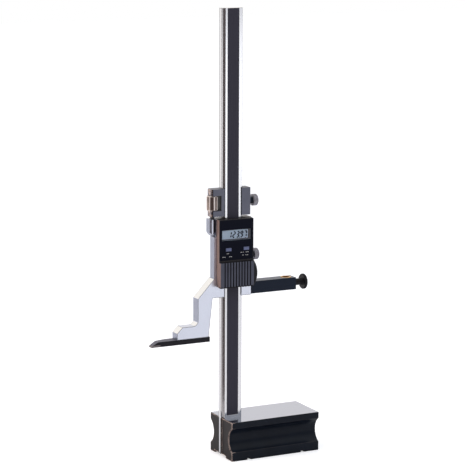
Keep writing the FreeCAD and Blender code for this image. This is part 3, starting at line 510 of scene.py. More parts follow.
def nut_steel():
    """The nut: brown-grey flutes, with a painted highlight on its ridges and its chamfers."""
    tree = blackened_steel("nut_steel", NUT, lighter(NUT, 1.3), 0.30, metallic=1.0, edge=0.2 * MM)
    low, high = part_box("fine_adjust_nut")
    middle, half = (low + high) / 2, (high - low) / 2
    at = position_of(tree)
    aside, ahead, rise = [math_node(tree, "SUBTRACT", at[axis], getattr(middle, axis.lower()))
                          for axis in "XYZ"]
    squares = math_node(tree, "ADD", times(tree, aside, aside), times(tree, ahead, ahead))
    ridge = ramp(tree, math_node(tree, "SQRT", squares), half.x - 0.3 * MM, half.x - 0.1 * MM)
    end = ramp(tree, math_node(tree, "ABSOLUTE", rise), half.z - 0.9 * MM, half.z - 0.7 * MM)
    # Painted highlight on the ridges and the chamfered ends
    recolour(tree, math_node(tree, "MAXIMUM", ridge, end), NUT_HIGHLIGHT)


def base_paint(tree, left_end):
    """The base's black paint, with painted warm light on its left faces, and worn through along the
    edges near its left end, where the pale warm tone is also a painted highlight.
    """
    cloud = noise(tree, scale=40.0)
    paint = blend_colours(tree, varied(tree, cloud), PAINT, lighter(PAINT, 1.5))
    # Painted warm light on the left faces
    paint = blend_colours(tree, faces_left(tree), paint, PAINT_LEFT_LIGHT)
    rub = ramp(tree, noise(tree, scale=260.0, detail=4.0), 0.35, 0.55, 0.45, 1.0)
    near_end = ramp(tree, position_of(tree)["X"], left_end + 2.0 * MM, left_end + 5.0 * MM,
                    1.0, 0.05)
    # Worn edges near the left end; their pale warm tone is also a painted highlight
    worn_and_lit = times(tree, edge_wear_and_shading(tree, 1.4 * MM, 0.02, 0.10), times(tree, rub, near_end))
    return blend_colours(tree, worn_and_lit, paint, PAINT_WORN_AND_LIT)


def painted_base():
    """The base: black paint on the casting, bare ground metal on its top and underside."""
    tree, shader = new_material("painted_casting")
    height = position_of(tree)["Z"]
    low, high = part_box("base_block")
    ends = math_node(tree, "MAXIMUM", above(tree, height, high.z - SKIN),
                     below(tree, height, low.z + SKIN))
    flat = above(tree, math_node(tree, "ABSOLUTE", facing_of(tree)["Z"]), UPWARD)
    bare = times(tree, ends, flat)
    lines = noise(tree, (60.0, 7000.0, 7000.0), detail=4.0)
    metal = blend_colours(tree, varied(tree, lines), lighter(GROUND_TOP, 0.92), GROUND_TOP)
    fine = noise(tree, scale=4200.0, detail=2.0)
    rough = blend_values(tree, bare, varied(tree, fine, 0.26, 0.36),
                         varied(tree, lines, 0.10, 0.16))
    set_surface(tree, shader, blend_colours(tree, bare, base_paint(tree, low.x), metal), rough,
                specular=0.13)
    tree.links.new(bare, shader.inputs["Metallic"])
    peel = times(tree, inverse(tree, bare), noise(tree, scale=900.0))
    relief(tree, shader, peel, strength=0.2, distance=0.1 * MM, edge_radius=0.5 * MM)


def beam_steel():
    """The hardened beam: ground lengthwise, with painted shade along its edges, on its left
    flange's front and in its back left corner, and its foot painted.
    """
    # Its dark edge colour is painted shade along the edges
    tree = ground_steel("hardened_steel", BEAM, 0.15, grain=2, spread=0.03, streak=40.0,
                        edge_colour=BEAM_OUTLINE_SHADE, outline=0.5 * MM, lines_deep=0.02)
    low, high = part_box("column_beam")
    at = position_of(tree)
    front = below(tree, facing_of(tree)["Y"], -SQUARELY)
    left_half = below(tree, at["X"], (low.x + high.x) / 2)
    inner = times(tree, front, above(tree, at["X"], low.x + SIDE_SKIN))
    edge_shade = times(tree, math_node(tree, "SUBTRACT", left_half, inner),
                edge_wear_and_shading(tree, 1.0 * MM, 0.01, 0.08))
    # Painted shade along the edges of the left half, apart from the front's inner faces
    recolour(tree, edge_shade, BEAM_EDGE_SHADE)
    set_back = above(tree, at["Y"], low.y + SIDE_SKIN)
    # Painted shade on the left flange's front
    recolour(tree, times(tree, set_back, front, left_half), FLANGE_SHADE)
    recolour(tree, times(tree, front, below(tree, at["Y"], low.y + FACE_SKIN)), BEAM)
    left = below(tree, at["X"], low.x + BEAM_LEFT_SKIN)
    # Painted shade in the back left corner of the left face
    recolour(tree, times(tree, left, above(tree, at["Y"], high.y - BEAM_CORNER_WIDTH)), BEAM_CORNER_SHADE)
    paint_beam_foot(tree, at, left, high.y)


def paint_beam_foot(tree, at, left, back):
    """Paints the beam's left side in the base's slot, apart from a bright line."""
    down = below(tree, at["Z"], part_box("base_block")[1].z)
    behind, ahead = FOOT_BRIGHT_FROM_BACK
    beside = math_node(tree, "MAXIMUM", above(tree, at["Y"], back - behind),
                       below(tree, at["Y"], back - ahead))
    painted = times(tree, left, down, beside)
    recolour(tree, painted, lighter(PAINT, 1.2))
    tree.links.new(inverse(tree, painted), tree.nodes["Principled BSDF"].inputs["Metallic"])


def gloss_panel():
    """The glossy front plate: near black, with faint dust and hairlines."""
    tree, shader = new_material("gloss_panel")
    dust = noise(tree, scale=2200.0, detail=5.0, roughness=0.7)
    smear = noise(tree, (120.0, 900.0, 400.0))
    base = blend_colours(tree, ramp(tree, dust, 0.66, 0.74), PANEL, lighter(PANEL, 1.5, 0.012))
    set_surface(tree, shader, base, varied(tree, smear, 0.10, 0.18), specular=0.05)
    relief(tree, shader, smear, strength=0.03, distance=0.03 * MM, edge_radius=0.2 * MM)


def clear_window():
    """Thin clear plastic: mostly see-through, with a soft gloss."""
    tree, shader = new_material("clear_window")
    smear = noise(tree, scale=500.0)
    tree.nodes.remove(shader)
    through = add_node(tree, "ShaderNodeBsdfTransparent")
    through.inputs["Color"].default_value = (0.97, 0.98, 1.0, 1.0)
    gloss = add_node(tree, "ShaderNodeBsdfGlossy")
    tree.links.new(varied(tree, smear, 0.05, 0.10), gloss.inputs["Roughness"])
    fresnel = add_node(tree, "ShaderNodeFresnel")
    fresnel.inputs["IOR"].default_value = 1.18
    mixed = mix_shaders(tree, fresnel.outputs["Fac"], through.outputs["BSDF"],
                        gloss.outputs["BSDF"])
    tree.links.new(mixed, tree.nodes["Material Output"].inputs["Surface"])


def display_glass():
    """The display's reflective ground, with a very fine grain."""
    tree, shader = new_material("display_glass")
    fine = noise(tree, scale=5200.0, detail=2.0)
    cloud = noise(tree, scale=110.0, detail=2.0)
    pale = blend_colours(tree, varied(tree, cloud), lighter(LCD, 0.93), lighter(LCD, 1.05))
    base = blend_colours(tree, ramp(tree, fine, 0.4, 0.7, 0.0, 0.25), pale, lighter(LCD, 0.8))
    set_surface(tree, shader, base, varied(tree, fine, 0.45, 0.6), specular=0.2)
    relief(tree, shader, fine, strength=0.05, distance=0.02 * MM)


def circuit_board():
    """Green solder mask with darker tracks beneath it."""
    tree, shader = new_material("board_green")
    grid = add_node(tree, "ShaderNodeTexVoronoi", feature="DISTANCE_TO_EDGE", distance="CHEBYCHEV")
    grid.inputs["Scale"].default_value = 420.0
    tree.links.new(object_position(tree), grid.inputs["Vector"])
    tracks = ramp(tree, grid.outputs["Distance"], 0.05, 0.12)
    set_surface(tree, shader, blend_colours(tree, tracks, SOLDER_MASK, TRACK),
                ramp(tree, tracks, 0.0, 1.0, 0.3, 0.42))
    relief(tree, shader, tracks, strength=0.2, distance=0.03 * MM)


def make_materials():
    """Every finish; each is kept under its name, a slot's or a piece's."""
    painted_base()
    beam_steel()
    slider_steel()
    blackened_steel("screw_steel", (0.10, 0.10, 0.105), (0.4, 0.4, 0.41), 0.32, metallic=0.8)
    blackened_steel("knurled_steel", (0.245, 0.235, 0.265), (0.75, 0.73, 0.78), 0.30, metallic=0.9,
                    edge=0.15 * MM)
    nut_steel()
    carriage_steel()
    bar_steel()
    scriber_steel()
    blackened_steel("black_knurled", (0.006, 0.0055, 0.007), (0.07, 0.066, 0.066), 0.35,
                    metallic=0.0, edge=0.15 * MM, specular=0.15)
    ground_steel("gib_bronze", (0.62, 0.45, 0.24), 0.3, grain=2)
    # The carbide's pale warm edge colour is a painted highlight
    ground_steel("carbide", (0.16, 0.145, 0.15), 0.28, grain=1,
                 edge=0.2 * MM, edge_colour=(0.5, 0.42, 0.41))
    ground_steel("brass", (0.83, 0.52, 0.22), 0.22, grain=2)
    printed("scale_black", (0.031, 0.029, 0.042), 0.42, specular=0.15, along=60.0)
    housing_plastic()
    cover_plastic()
    gloss_panel()
    clear_window()
    display_glass()
    printed("display_frame", (0.085, 0.075, 0.078), 0.5)
    # The buttons' dark edge colour is painted shade round them
    moulded_plastic("button_blue", (0.085, 0.10, 0.19), 0.4,
                    edge=0.5 * MM, edge_colour=(0.01, 0.01, 0.016))
    moulded_plastic("elastomer", (0.30, 0.30, 0.32), 0.7)
    circuit_board()
    moulded_plastic("switch_plastic", (0.15, 0.15, 0.15), 0.5)
    ground_steel("cell_steel", (0.75, 0.75, 0.76), 0.2, grain=1)
    ground_steel("contact_metal", (0.72, 0.68, 0.55), 0.25, grain=2)
    printed("digit_ink", (0.008, 0.012, 0.024), 0.5, specular=0.1)
    printed("mark_ink", (0.45, 0.44, 0.43), 0.5)


# Nodes with a finish of their own within their slot
OWN_FINISH = {"scriber": "scriber_steel"}


def dress_nodes():
    """Gives each CAD node the material of its slot in the record."""
    for part in frame["record"]["subparts"]:
        node = NODES[part["node"]]
        node.data.materials.clear()
        node.data.materials.append(MATERIALS[OWN_FINISH.get(part["node"], part["material_slot"])])


# Mesh helpers

SMOOTH_BELOW = math.radians(34)
SAME_PLACE = 1e-6


def new_piece(name, maker, node, material, replaces=False):
    """A mesh object made by a function on a bmesh; it rides with a CAD node or stands for it."""
    shape = bmesh.new()
    maker(shape)
    bmesh.ops.recalc_face_normals(shape, faces=shape.faces)
    mesh = bpy.data.meshes.new(name)
    shape.to_mesh(mesh)
    shape.free()
    for polygon in mesh.polygons:
        polygon.use_smooth = True
    mesh.set_sharp_from_angle(angle=SMOOTH_BELOW)
    piece = bpy.data.objects.new(name, mesh)
    bpy.context.scene.collection.objects.link(piece)
    mesh.materials.append(MATERIALS[material])
    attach(piece, body_of(NODES[node])[0])
    if replaces:
        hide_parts(node)


def bridge(shape, low, high):
    """Faces between two rings of points."""
    for i, vertex in enumerate(low):
        after = (i + 1) % len(low)
        shape.faces.new((vertex, low[after], high[after], high[i]))


def flat_plate(shape, corners, y_front, y_back):
    """A thin plate on an outline in the front view."""
    front = [shape.verts.new((x, y_front, z)) for x, z in corners]
    rear = [shape.verts.new((x, y_back, z)) for x, z in corners]
    shape.faces.new(front)
    shape.faces.new(list(reversed(rear)))
    bridge(shape, front, rear)


def rectangle(left, right, bottom, top):
    """The corners of an upright rectangle."""
    return [(left, bottom), (right, bottom), (right, top), (left, top)]


def turned(shape, rings, origin, axis):
    """A closed body through rings along an axis; each ring is (along, radii by step)."""
    axis = Vector(axis).normalized()
    side = axis.orthogonal().normalized()
    other = axis.cross(side)
    loops = []
    for along, radii in rings:
        loop = []
        for step, radius in enumerate(radii):
            turn = 2 * math.pi * step / len(radii)
            offset = (side * math.cos(turn) + other * math.sin(turn)) * radius
            loop.append(shape.verts.new(Vector(origin) + axis * along + offset))
        loops.append(loop)
    for low, high in zip(loops, loops[1:]):
        bridge(shape, low, high)
    shape.faces.new(loops[0])
    shape.faces.new(loops[-1])


def circle(radius, steps):
    """The radii of a round ring."""
    return [radius] * steps


def round_rings(outline, steps):
    """Round rings through the (along, radius) points of an outline."""
    return [(along, circle(radius, steps)) for along, radius in outline]


def hexagon(across_flats, steps):
    """The radii of a six-sided ring."""
    radii = []
    for step in range(steps):
        turn = 2 * math.pi * step / steps
        from_flat = (turn + math.pi / 6) % (math.pi / 3) - math.pi / 6
        radii.append(across_flats / 2 / math.cos(from_flat))
    return radii


def toothed(radius, depth, teeth, steps_each):
    """The radii of a ring of rounded teeth."""
    radii = []
    for step in range(teeth * steps_each):
        phase = 2 * math.pi * step / steps_each
        radii.append(radius - depth * (0.5 - 0.5 * math.cos(phase)))
    return radii


def islands(name):
    """The boxes of the separate solids in a node's mesh, lowest first."""
    shape = bmesh.new()
    shape.from_mesh(NODES[name].data)
    shape.transform(NODES[name].matrix_world)
    bmesh.ops.remove_doubles(shape, verts=shape.verts, dist=SAME_PLACE)
    boxes = []
    waiting = set(shape.verts)
    while waiting:
        group = [waiting.pop()]
        for vertex in group:
            for edge in vertex.link_edges:
                near = edge.other_vert(vertex)
                if near in waiting:
                    waiting.remove(near)
                    group.append(near)
        low = Vector(min(v.co[i] for v in group) for i in range(3))
        high = Vector(max(v.co[i] for v in group) for i in range(3))
        boxes.append((low, high))
    shape.free()
    return sorted(boxes, key=lambda box: (round(box[0].z, 4), round(box[0].x, 4)))


def middle_of(box):
    """The middle of a box."""
    return (box[0] + box[1]) / 2


# Screws

SCREW_STEPS = 24
HEAD_BREAK = 0.25 * MM
SOCKET_BREAK = 0.15 * MM
# The drilled floor's sink and radius, by the socket's width; its depth, by the head's length
SOCKET_SINK, SOCKET_FLOOR, SOCKET_DEPTH = 0.25, 0.08, 0.6
# The end's radius and the taper's length, by the shank's radius
SHANK_TIP, SHANK_TAPER = 0.8, 0.3
SET_SCREW_RADIUS = 1.5 * MM
SET_SCREW_BREAK = 0.2 * MM
SET_SCREW_SOCKET = 1.4 * MM
SET_SCREW_TIP = 0.7
BACKWARD, DOWNWARD = Vector((0, 1, 0)), Vector((0, 0, -1))

# Node, the way that the heads face, the head's radius and length, and the shank's radius
CAP_SCREWS = (("column_screws", BACKWARD, 4.25 * MM, 5.0 * MM, 2.5 * MM),
              ("head_screws", BACKWARD, 2.2 * MM, 1.8 * MM, 1.25 * MM),
              ("indicator_bar_screws", BACKWARD, 2.2 * MM, 1.8 * MM, 1.25 * MM),
              ("scriber_screws", DOWNWARD, 2.8 * MM, 1.3 * MM, 1.5 * MM))


def socket_rings(top, depth, across):
    """The rings of a hexagon socket, from its mouth to its drilled floor."""
    flats = hexagon(across, SCREW_STEPS)
    return [(top, [radius + SOCKET_BREAK for radius in flats]),
            (top - SOCKET_BREAK, flats),
            (top - depth, flats),
            (top - depth - across * SOCKET_SINK, circle(across * SOCKET_FLOOR, SCREW_STEPS))]


def draw_cap_screw(shape, seat, axis, head, shank):
    """A socket screw; head and shank are (radius, length), and the seat is under the head."""
    head_radius, head_length = head
    shank_radius, shank_length = shank
    outline = [(-shank_length, shank_radius * SHANK_TIP),
               (-shank_length + shank_radius * SHANK_TAPER, shank_radius),
               (0.0, shank_radius),
               (0.0, head_radius),
               (head_length - HEAD_BREAK, head_radius),
               (head_length, head_radius - HEAD_BREAK)]
    turned(shape, round_rings(outline, SCREW_STEPS)
           + socket_rings(head_length, head_length * SOCKET_DEPTH, head_radius), seat, axis)


def make_cap_screws():
    """Socket screws in place of the plain ones of the frame."""
    for name, axis, head_radius, head_length, shank_radius in CAP_SCREWS:
        for number, box in enumerate(islands(name)):
            length = abs((box[1] - box[0]).dot(axis))
            seat = middle_of(box) + axis * (length / 2 - head_length)

            def draw(shape, seat=seat, length=length):
                draw_cap_screw(shape, seat, axis, (head_radius, head_length),
                               (shank_radius, length - head_length))

            new_piece(f"{name}_{number + 1}", draw, name, "screw_steel", replaces=True)


def make_set_screws():
    """Headless screws that press the gib, each with a socket in its outer end."""
    name, radius = "gib_set_screws", SET_SCREW_RADIUS
    for number, box in enumerate(islands(name)):
        length = box[1].x - box[0].x
        origin = middle_of(box) - Vector((length / 2, 0, 0))
        outline = [(0.0, radius * SET_SCREW_TIP), (radius * SHANK_TAPER, radius),
                   (length - SET_SCREW_BREAK, radius), (length, radius - SET_SCREW_BREAK)]
        rings = round_rings(outline, SCREW_STEPS)
        rings += socket_rings(length, SET_SCREW_SOCKET, SET_SCREW_SOCKET)

        def draw(shape, rings=rings, origin=origin):
            turned(shape, rings, origin, (1, 0, 0))

        new_piece(f"gib_set_screw_{number + 1}", draw, name, "screw_steel", replaces=True)


THREAD_RADIUS = 2.5 * MM
THREAD_PITCH = 0.8 * MM
THREAD_DEPTH = 0.42 * MM
THREAD_STEPS = 20
THREAD_END_BREAK = 0.2 * MM
THREAD_RUN_OUT = 1.0 * MM
THREAD_OVERLAP = 0.2 * MM
THREAD_SINK = 0.05 * MM


def make_lead_screw():
    """The fine-adjustment screw with its helical thread and a plain end in the slider."""
    name = "fine_adjust_screw"
    low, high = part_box(name)
    place = (low + high) / 2
    length = high.z - low.z
    plain_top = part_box("slider_frame")[1].z - THREAD_RUN_OUT
    core = THREAD_RADIUS - THREAD_DEPTH

    def draw(shape):
        for outline in (((0, core), (length - THREAD_END_BREAK, core),
                         (length, core - THREAD_END_BREAK)),
                        ((0, THREAD_RADIUS), (plain_top - low.z, THREAD_RADIUS))):
            turned(shape, round_rings(outline, THREAD_STEPS), (place.x, place.y, low.z), (0, 0, 1))
        draw_thread(shape, place, plain_top - THREAD_OVERLAP, high.z - THREAD_RUN_OUT)

    new_piece(f"{name}_threaded", draw, name, "screw_steel", replaces=True)


def draw_thread(shape, place, bottom, top):
    """A closed helical ridge round an upright axis."""
    turns = (top - bottom) / THREAD_PITCH - 1
    root, crest = THREAD_RADIUS - THREAD_DEPTH - THREAD_SINK, THREAD_RADIUS
    profile = ((root, 0.0), (crest, 0.35), (crest, 0.5), (root, 0.85))
    rings = []
    for step in range(int(turns * THREAD_STEPS) + 1):
        turn = 2 * math.pi * step / THREAD_STEPS
        rise = bottom + THREAD_PITCH * step / THREAD_STEPS
        rings.append([shape.verts.new((place.x + radius * math.cos(turn),
                                       place.y + radius * math.sin(turn),
                                       rise + part * THREAD_PITCH)) for radius, part in profile])
    for low, high in zip(rings, rings[1:]):
        bridge(shape, low, high)
    shape.faces.new(rings[0])
    shape.faces.new(rings[-1])


# Knurled screws, knob and nut

KNURL_CHAMFER = 0.6 * MM
KNURL_STEPS = 4
DISH_MOUTH, DISH_FLOOR = 0.72, 0.64
SHANK_RADIUS = 2.0 * MM
SHANK_BREAK = 0.4 * MM
NECK_FACE = 3.2 * MM
NECK_OVERLAP = 0.2 * MM

THUMB_RADIUS, THUMB_LENGTH = 6.0 * MM, 5.6 * MM
THUMB_TEETH, THUMB_DEPTH, THUMB_DISH = 60, 0.28 * MM, 0.5 * MM
THUMB_NECK_RADIUS, THUMB_NECK_LENGTH = 3.4 * MM, 4.0 * MM
THUMB_FLARE = (0.8 * MM, 0.5 * MM)

KNOB_RADIUS, KNOB_LENGTH = 8.0 * MM, 3.2 * MM
KNOB_TEETH, KNOB_DEPTH, KNOB_DISH = 48, 0.35 * MM, 0.4 * MM
KNOB_NECK_RADIUS, KNOB_NECK_LENGTH = 3.5 * MM, 10.0 * MM
KNOB_FLARE = (1.2 * MM, 1.1 * MM)


def draw_knurled_head(shape, place, radius, length, teeth, depth, dish):
    """A chamfered knurled drum with a shallow dish in its outer face."""
    count = teeth * KNURL_STEPS
    knurl = toothed(radius, depth, teeth, KNURL_STEPS)
    rings = [(0.0, circle(radius - KNURL_CHAMFER, count)),
             (KNURL_CHAMFER, knurl),
             (length - KNURL_CHAMFER, knurl),
             (length, circle(radius - KNURL_CHAMFER, count)),
             (length, circle(radius * DISH_MOUTH, count)),
             (length - dish, circle(radius * DISH_FLOOR, count))]
    turned(shape, rings, place, (1, 0, 0))


def draw_clamp_neck(shape, middle, start, neck, head, radius, flare, steps):
    """A clamp screw's shank and neck along X; the neck flares by (length, rise) at the head."""
    outline = [(start, SHANK_RADIUS - SHANK_BREAK), (start + SHANK_BREAK, SHANK_RADIUS),
               (neck, SHANK_RADIUS), (neck, NECK_FACE), (neck + radius - NECK_FACE, radius),
               (head - flare[0], radius), (head + NECK_OVERLAP, radius + flare[1])]
    turned(shape, round_rings(outline, steps), (0, middle.y, middle.z), (1, 0, 0))


def make_thumb_screws():
    """The two clamp screws: a knurled head, a dark neck and a shank."""
    for name in ("carriage_clamp_screw", "slider_clamp_screw"):
        low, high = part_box(name)
        middle = (low + high) / 2
        head_x = high.x - THUMB_LENGTH

        def draw_head(shape):
            draw_knurled_head(shape, (head_x, middle.y, middle.z), THUMB_RADIUS, THUMB_LENGTH,
                              THUMB_TEETH, THUMB_DEPTH, THUMB_DISH)

        def draw_neck(shape):
            draw_clamp_neck(shape, middle, low.x, head_x - THUMB_NECK_LENGTH, head_x,
                            THUMB_NECK_RADIUS, THUMB_FLARE, steps=32)

        new_piece(f"{name}_head", draw_head, name, "knurled_steel", replaces=True)
        new_piece(f"{name}_neck", draw_neck, name, "black_steel", replaces=True)


def make_knob():
    """The black knurled knob of the indicator clamp."""
    name = "indicator_clamp_knob"
    low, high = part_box(name)
    middle = (low + high) / 2
    disc_x = high.x - KNOB_LENGTH

    def draw(shape):
        draw_knurled_head(shape, (disc_x, middle.y, middle.z), KNOB_RADIUS, KNOB_LENGTH,
                          KNOB_TEETH, KNOB_DEPTH, KNOB_DISH)
        draw_clamp_neck(shape, middle, low.x, disc_x - KNOB_NECK_LENGTH, disc_x,
                        KNOB_NECK_RADIUS, KNOB_FLARE, steps=40)

    new_piece("indicator_knob_knurled", draw, name, "black_knurled", replaces=True)


NUT_RIDGES = 8
NUT_RIDGE_STEPS = 14
NUT_LAND = 0.22
NUT_FLUTE = 0.55 * MM
NUT_BORE = 2.6 * MM
NUT_BORE_BREAK = 0.4 * MM
NUT_CHAMFER = (0.8 * MM, 0.9 * MM)
NUT_RIDGE_TURN = 0.69
NUT_FLUTE_POWER = 0.7


def nut_ring(radius):
    """The radii of a nut's ring: flutes with narrow ridges between them."""
    radii = []
    for step in range(NUT_RIDGES * NUT_RIDGE_STEPS):
        phase = (step % NUT_RIDGE_STEPS) / NUT_RIDGE_STEPS
        across = min(1.0, max(0.0, (min(phase, 1 - phase) * 2 - NUT_LAND) / (1 - NUT_LAND)))
        radii.append(radius - NUT_FLUTE * math.sin(across * math.pi / 2) ** NUT_FLUTE_POWER)
    return radii


def make_nut():
    """The fluted fine-adjustment nut with its bore."""
    name = "fine_adjust_nut"
    low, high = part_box(name)
    middle = (low + high) / 2
    radius, length = (high.x - low.x) / 2, high.z - low.z
    count = NUT_RIDGES * NUT_RIDGE_STEPS
    rise, inset = NUT_CHAMFER
    mouth = NUT_BORE + NUT_BORE_BREAK

    def draw(shape):
        inner = ((length, radius - inset), (length, mouth), (length - NUT_BORE_BREAK, NUT_BORE),
                 (NUT_BORE_BREAK, NUT_BORE), (0.0, mouth))
        rings = [(0.0, circle(radius - inset, count)),
                 (rise, nut_ring(radius)),
                 (length - rise, nut_ring(radius))] + round_rings(inner, count)
        ring_body(shape, rings, (middle.x, middle.y, low.z))

    new_piece(f"{name}_fluted", draw, name, "nut_steel", replaces=True)


def ring_body(shape, rings, origin):
    """A ring-shaped body round an upright axis, through rings that come back to the first."""
    loops = []
    for rise, radii in rings:
        loop = []
        for step, radius in enumerate(radii):
            turn = 2 * math.pi * step / len(radii) + NUT_RIDGE_TURN
            loop.append(shape.verts.new((origin[0] + radius * math.cos(turn),
                                         origin[1] + radius * math.sin(turn), origin[2] + rise)))
        loops.append(loop)
    for low, high in zip(loops, loops[1:] + loops[:1]):
        bridge(shape, low, high)


# Display

SEGMENTS_OF = {"1": "bc", "2": "abged", "3": "abgcd", "9": "abcdfg", "7": "abc"}
DIGIT_WIDTH = 3.6 * MM
DIGIT_HEIGHT = 7.3 * MM
DIGIT_STROKE = 1.5 * MM
DIGIT_PITCH = 4.35 * MM
DIGIT_SLANT = 0.17
DIGIT_BASE_ABOVE_WINDOW = 1.9 * MM
FIRST_DIGIT_FROM_WINDOW = 7.45 * MM
SEGMENT_GAP = 0.08 * MM
INK_HEIGHT = 0.02 * MM
POINT_SIDE = 0.8 * MM
POINT_BEFORE_DIGIT = 0.6 * MM
# A small mark: inwards from the window's side, up from its foot, width and height
LEFT_MARK = (2.2 * MM, 0.5 * MM, 1.3 * MM, 0.7 * MM)
RIGHT_MARK = (5.8 * MM, 1.0 * MM, 1.2 * MM, 0.7 * MM)


def segment_outline(segment):
    """The six corners of a seven-segment bar in a digit's own box."""
    w, h, g = DIGIT_WIDTH, DIGIT_HEIGHT, SEGMENT_GAP
    half = DIGIT_STROKE / 2
    spans = {
        "a": ((half, h - half), (w - half, h - half)),
        "g": ((half, h / 2), (w - half, h / 2)),
        "d": ((half, half), (w - half, half)),
        "f": ((half, h / 2), (half, h - half)),
        "b": ((w - half, h / 2), (w - half, h - half)),
        "e": ((half, half), (half, h / 2)),
        "c": ((w - half, half), (w - half, h / 2)),
    }
    (x0, z0), (x1, z1) = spans[segment]
    if z0 == z1:
        x0, x1 = x0 + g, x1 - g
        return [(x0, z0), (x0 + half, z0 - half), (x1 - half, z0 - half), (x1, z0),
                (x1 - half, z0 + half), (x0 + half, z0 + half)]
    z0, z1 = z0 + g, z1 - g
    return [(x0, z0), (x0 + half, z0 + half), (x0 + half, z1 - half), (x0, z1),
            (x0 - half, z1 - half), (x0 - half, z0 + half)]


def make_digits():
    """The reading on the display, one piece for each digit, and the small marks beside it."""
    low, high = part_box("display_window")
    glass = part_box("display_module")[0].y
    base_z = low.z + DIGIT_BASE_ABOVE_WINDOW
    for number, digit in enumerate("12397"):
        left = low.x + FIRST_DIGIT_FROM_WINDOW + number * DIGIT_PITCH

        def draw(shape, digit=digit, left=left):
            for segment in SEGMENTS_OF[digit]:
                corners = [(left + x + DIGIT_SLANT * z, base_z + z)
                           for x, z in segment_outline(segment)]
                flat_plate(shape, corners, glass - INK_HEIGHT, glass)

        new_piece(f"display_digit_{number + 1}", draw, "display_module", "digit_ink")

    def draw_marks(shape):
        point = low.x + FIRST_DIGIT_FROM_WINDOW + 3 * DIGIT_PITCH - POINT_BEFORE_DIGIT
        for x, z, wide, tall in ((point, base_z, POINT_SIDE, POINT_SIDE),
                                 (low.x + LEFT_MARK[0], low.z + LEFT_MARK[1], *LEFT_MARK[2:]),
                                 (high.x - RIGHT_MARK[0], low.z + RIGHT_MARK[1], *RIGHT_MARK[2:])):
            flat_plate(shape, rectangle(x, x + wide, z, z + tall), glass - INK_HEIGHT, glass)

    new_piece("display_marks", draw_marks, "display_module", "digit_ink")


BEZEL_BOTTOM = 0.9 * MM
BEZEL_RIGHT = 2.1 * MM
BEZEL_TOP = 0.35 * MM
BEZEL_LEFT = 0.35 * MM
BEZEL_GAP = 0.3 * MM
BEZEL_BACK, BEZEL_FRONT = 0.02 * MM, 0.22 * MM


def make_bezel():
    """The slanted frame between the window and the display, wider at the right."""
    low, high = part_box("display_window")
    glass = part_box("display_module")[0].y
    left, right = low.x + BEZEL_GAP, high.x - BEZEL_GAP
    bottom, top = low.z + BEZEL_GAP, high.z - BEZEL_GAP
    outer = rectangle(left, right, bottom, top)
    inner = rectangle(left + BEZEL_LEFT, right - BEZEL_RIGHT,
                      bottom + BEZEL_BOTTOM, top - BEZEL_TOP)

    def draw(shape):
        rims = []
        for outline, y in ((outer, glass - BEZEL_FRONT), (inner, glass - BEZEL_BACK),
                           (inner, glass), (outer, glass)):
            rims.append([shape.verts.new((x, y, z)) for x, z in outline])
        for first, second in zip(rims, rims[1:] + rims[:1]):
            bridge(shape, first, second)

    new_piece("display_frame", draw, "display_module", "display_frame")


# Marks under the buttons: dashes that spell nothing

MARK_STROKE = 0.55 * MM
# For each dash, in mm: its middle's place beside and above the button's middle, and its length
MARK_DASHES = {
    "left_button": ((-1.7, -4.3, 1.1), (-0.2, -4.3, 1.1), (-6.2, -7.6, 1.6), (-4.2, -7.6, 1.4),
                    (1.2, -7.6, 1.2), (2.9, -7.6, 1.6)),
    "right_button": ((-5.7, -4.0, 1.8), (-3.4, -4.0, 0.8), (0.0, -4.0, 1.2), (1.9, -4.0, 1.4),
                     (-3.9, -7.0, 1.6), (-0.6, -7.0, 1.2), (1.3, -7.0, 1.4)),
}


def make_marks():
    """Short printed dashes under each button."""
    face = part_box("front_panel")[0].y
    for name, dashes in MARK_DASHES.items():
        middle = middle_of(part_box(name))

        def draw(shape):
            for x, z, length in dashes:
                left, right = middle.x + (x - length / 2) * MM, middle.x + (x + length / 2) * MM
                bottom = middle.z + z * MM
                flat_plate(shape, rectangle(left, right, bottom, bottom + MARK_STROKE),
                           face - INK_HEIGHT, face)

        new_piece(f"{name}_mark", draw, "front_panel", "mark_ink")


# Stage, light and camera

def set_matt(shader):
    """A surface without gloss."""
    shader.inputs["Roughness"].default_value = 0.9
    shader.inputs["Specular IOR Level"].default_value = 0.0


def make_card(name, place, size, turn, colour):
    """An upright card that only reflections see."""
    bpy.ops.mesh.primitive_plane_add(size=1.0, location=place)
    card = bpy.context.object
    card.name = name
    card.scale = (*size, 1.0)
    card.rotation_euler = (math.pi / 2, 0, turn)
    shader = new_material(name)[1]
    set_matt(shader)
    shader.inputs["Base Color"].default_value = (0.0, 0.0, 0.0, 1.0)
    shader.inputs["Emission Color"].default_value = (*colour, 1.0)
    shader.inputs["Emission Strength"].default_value = 1.0
    card.data.materials.append(MATERIALS[name])
    for setting in CARD_HIDDEN:
        setattr(card, setting, False)


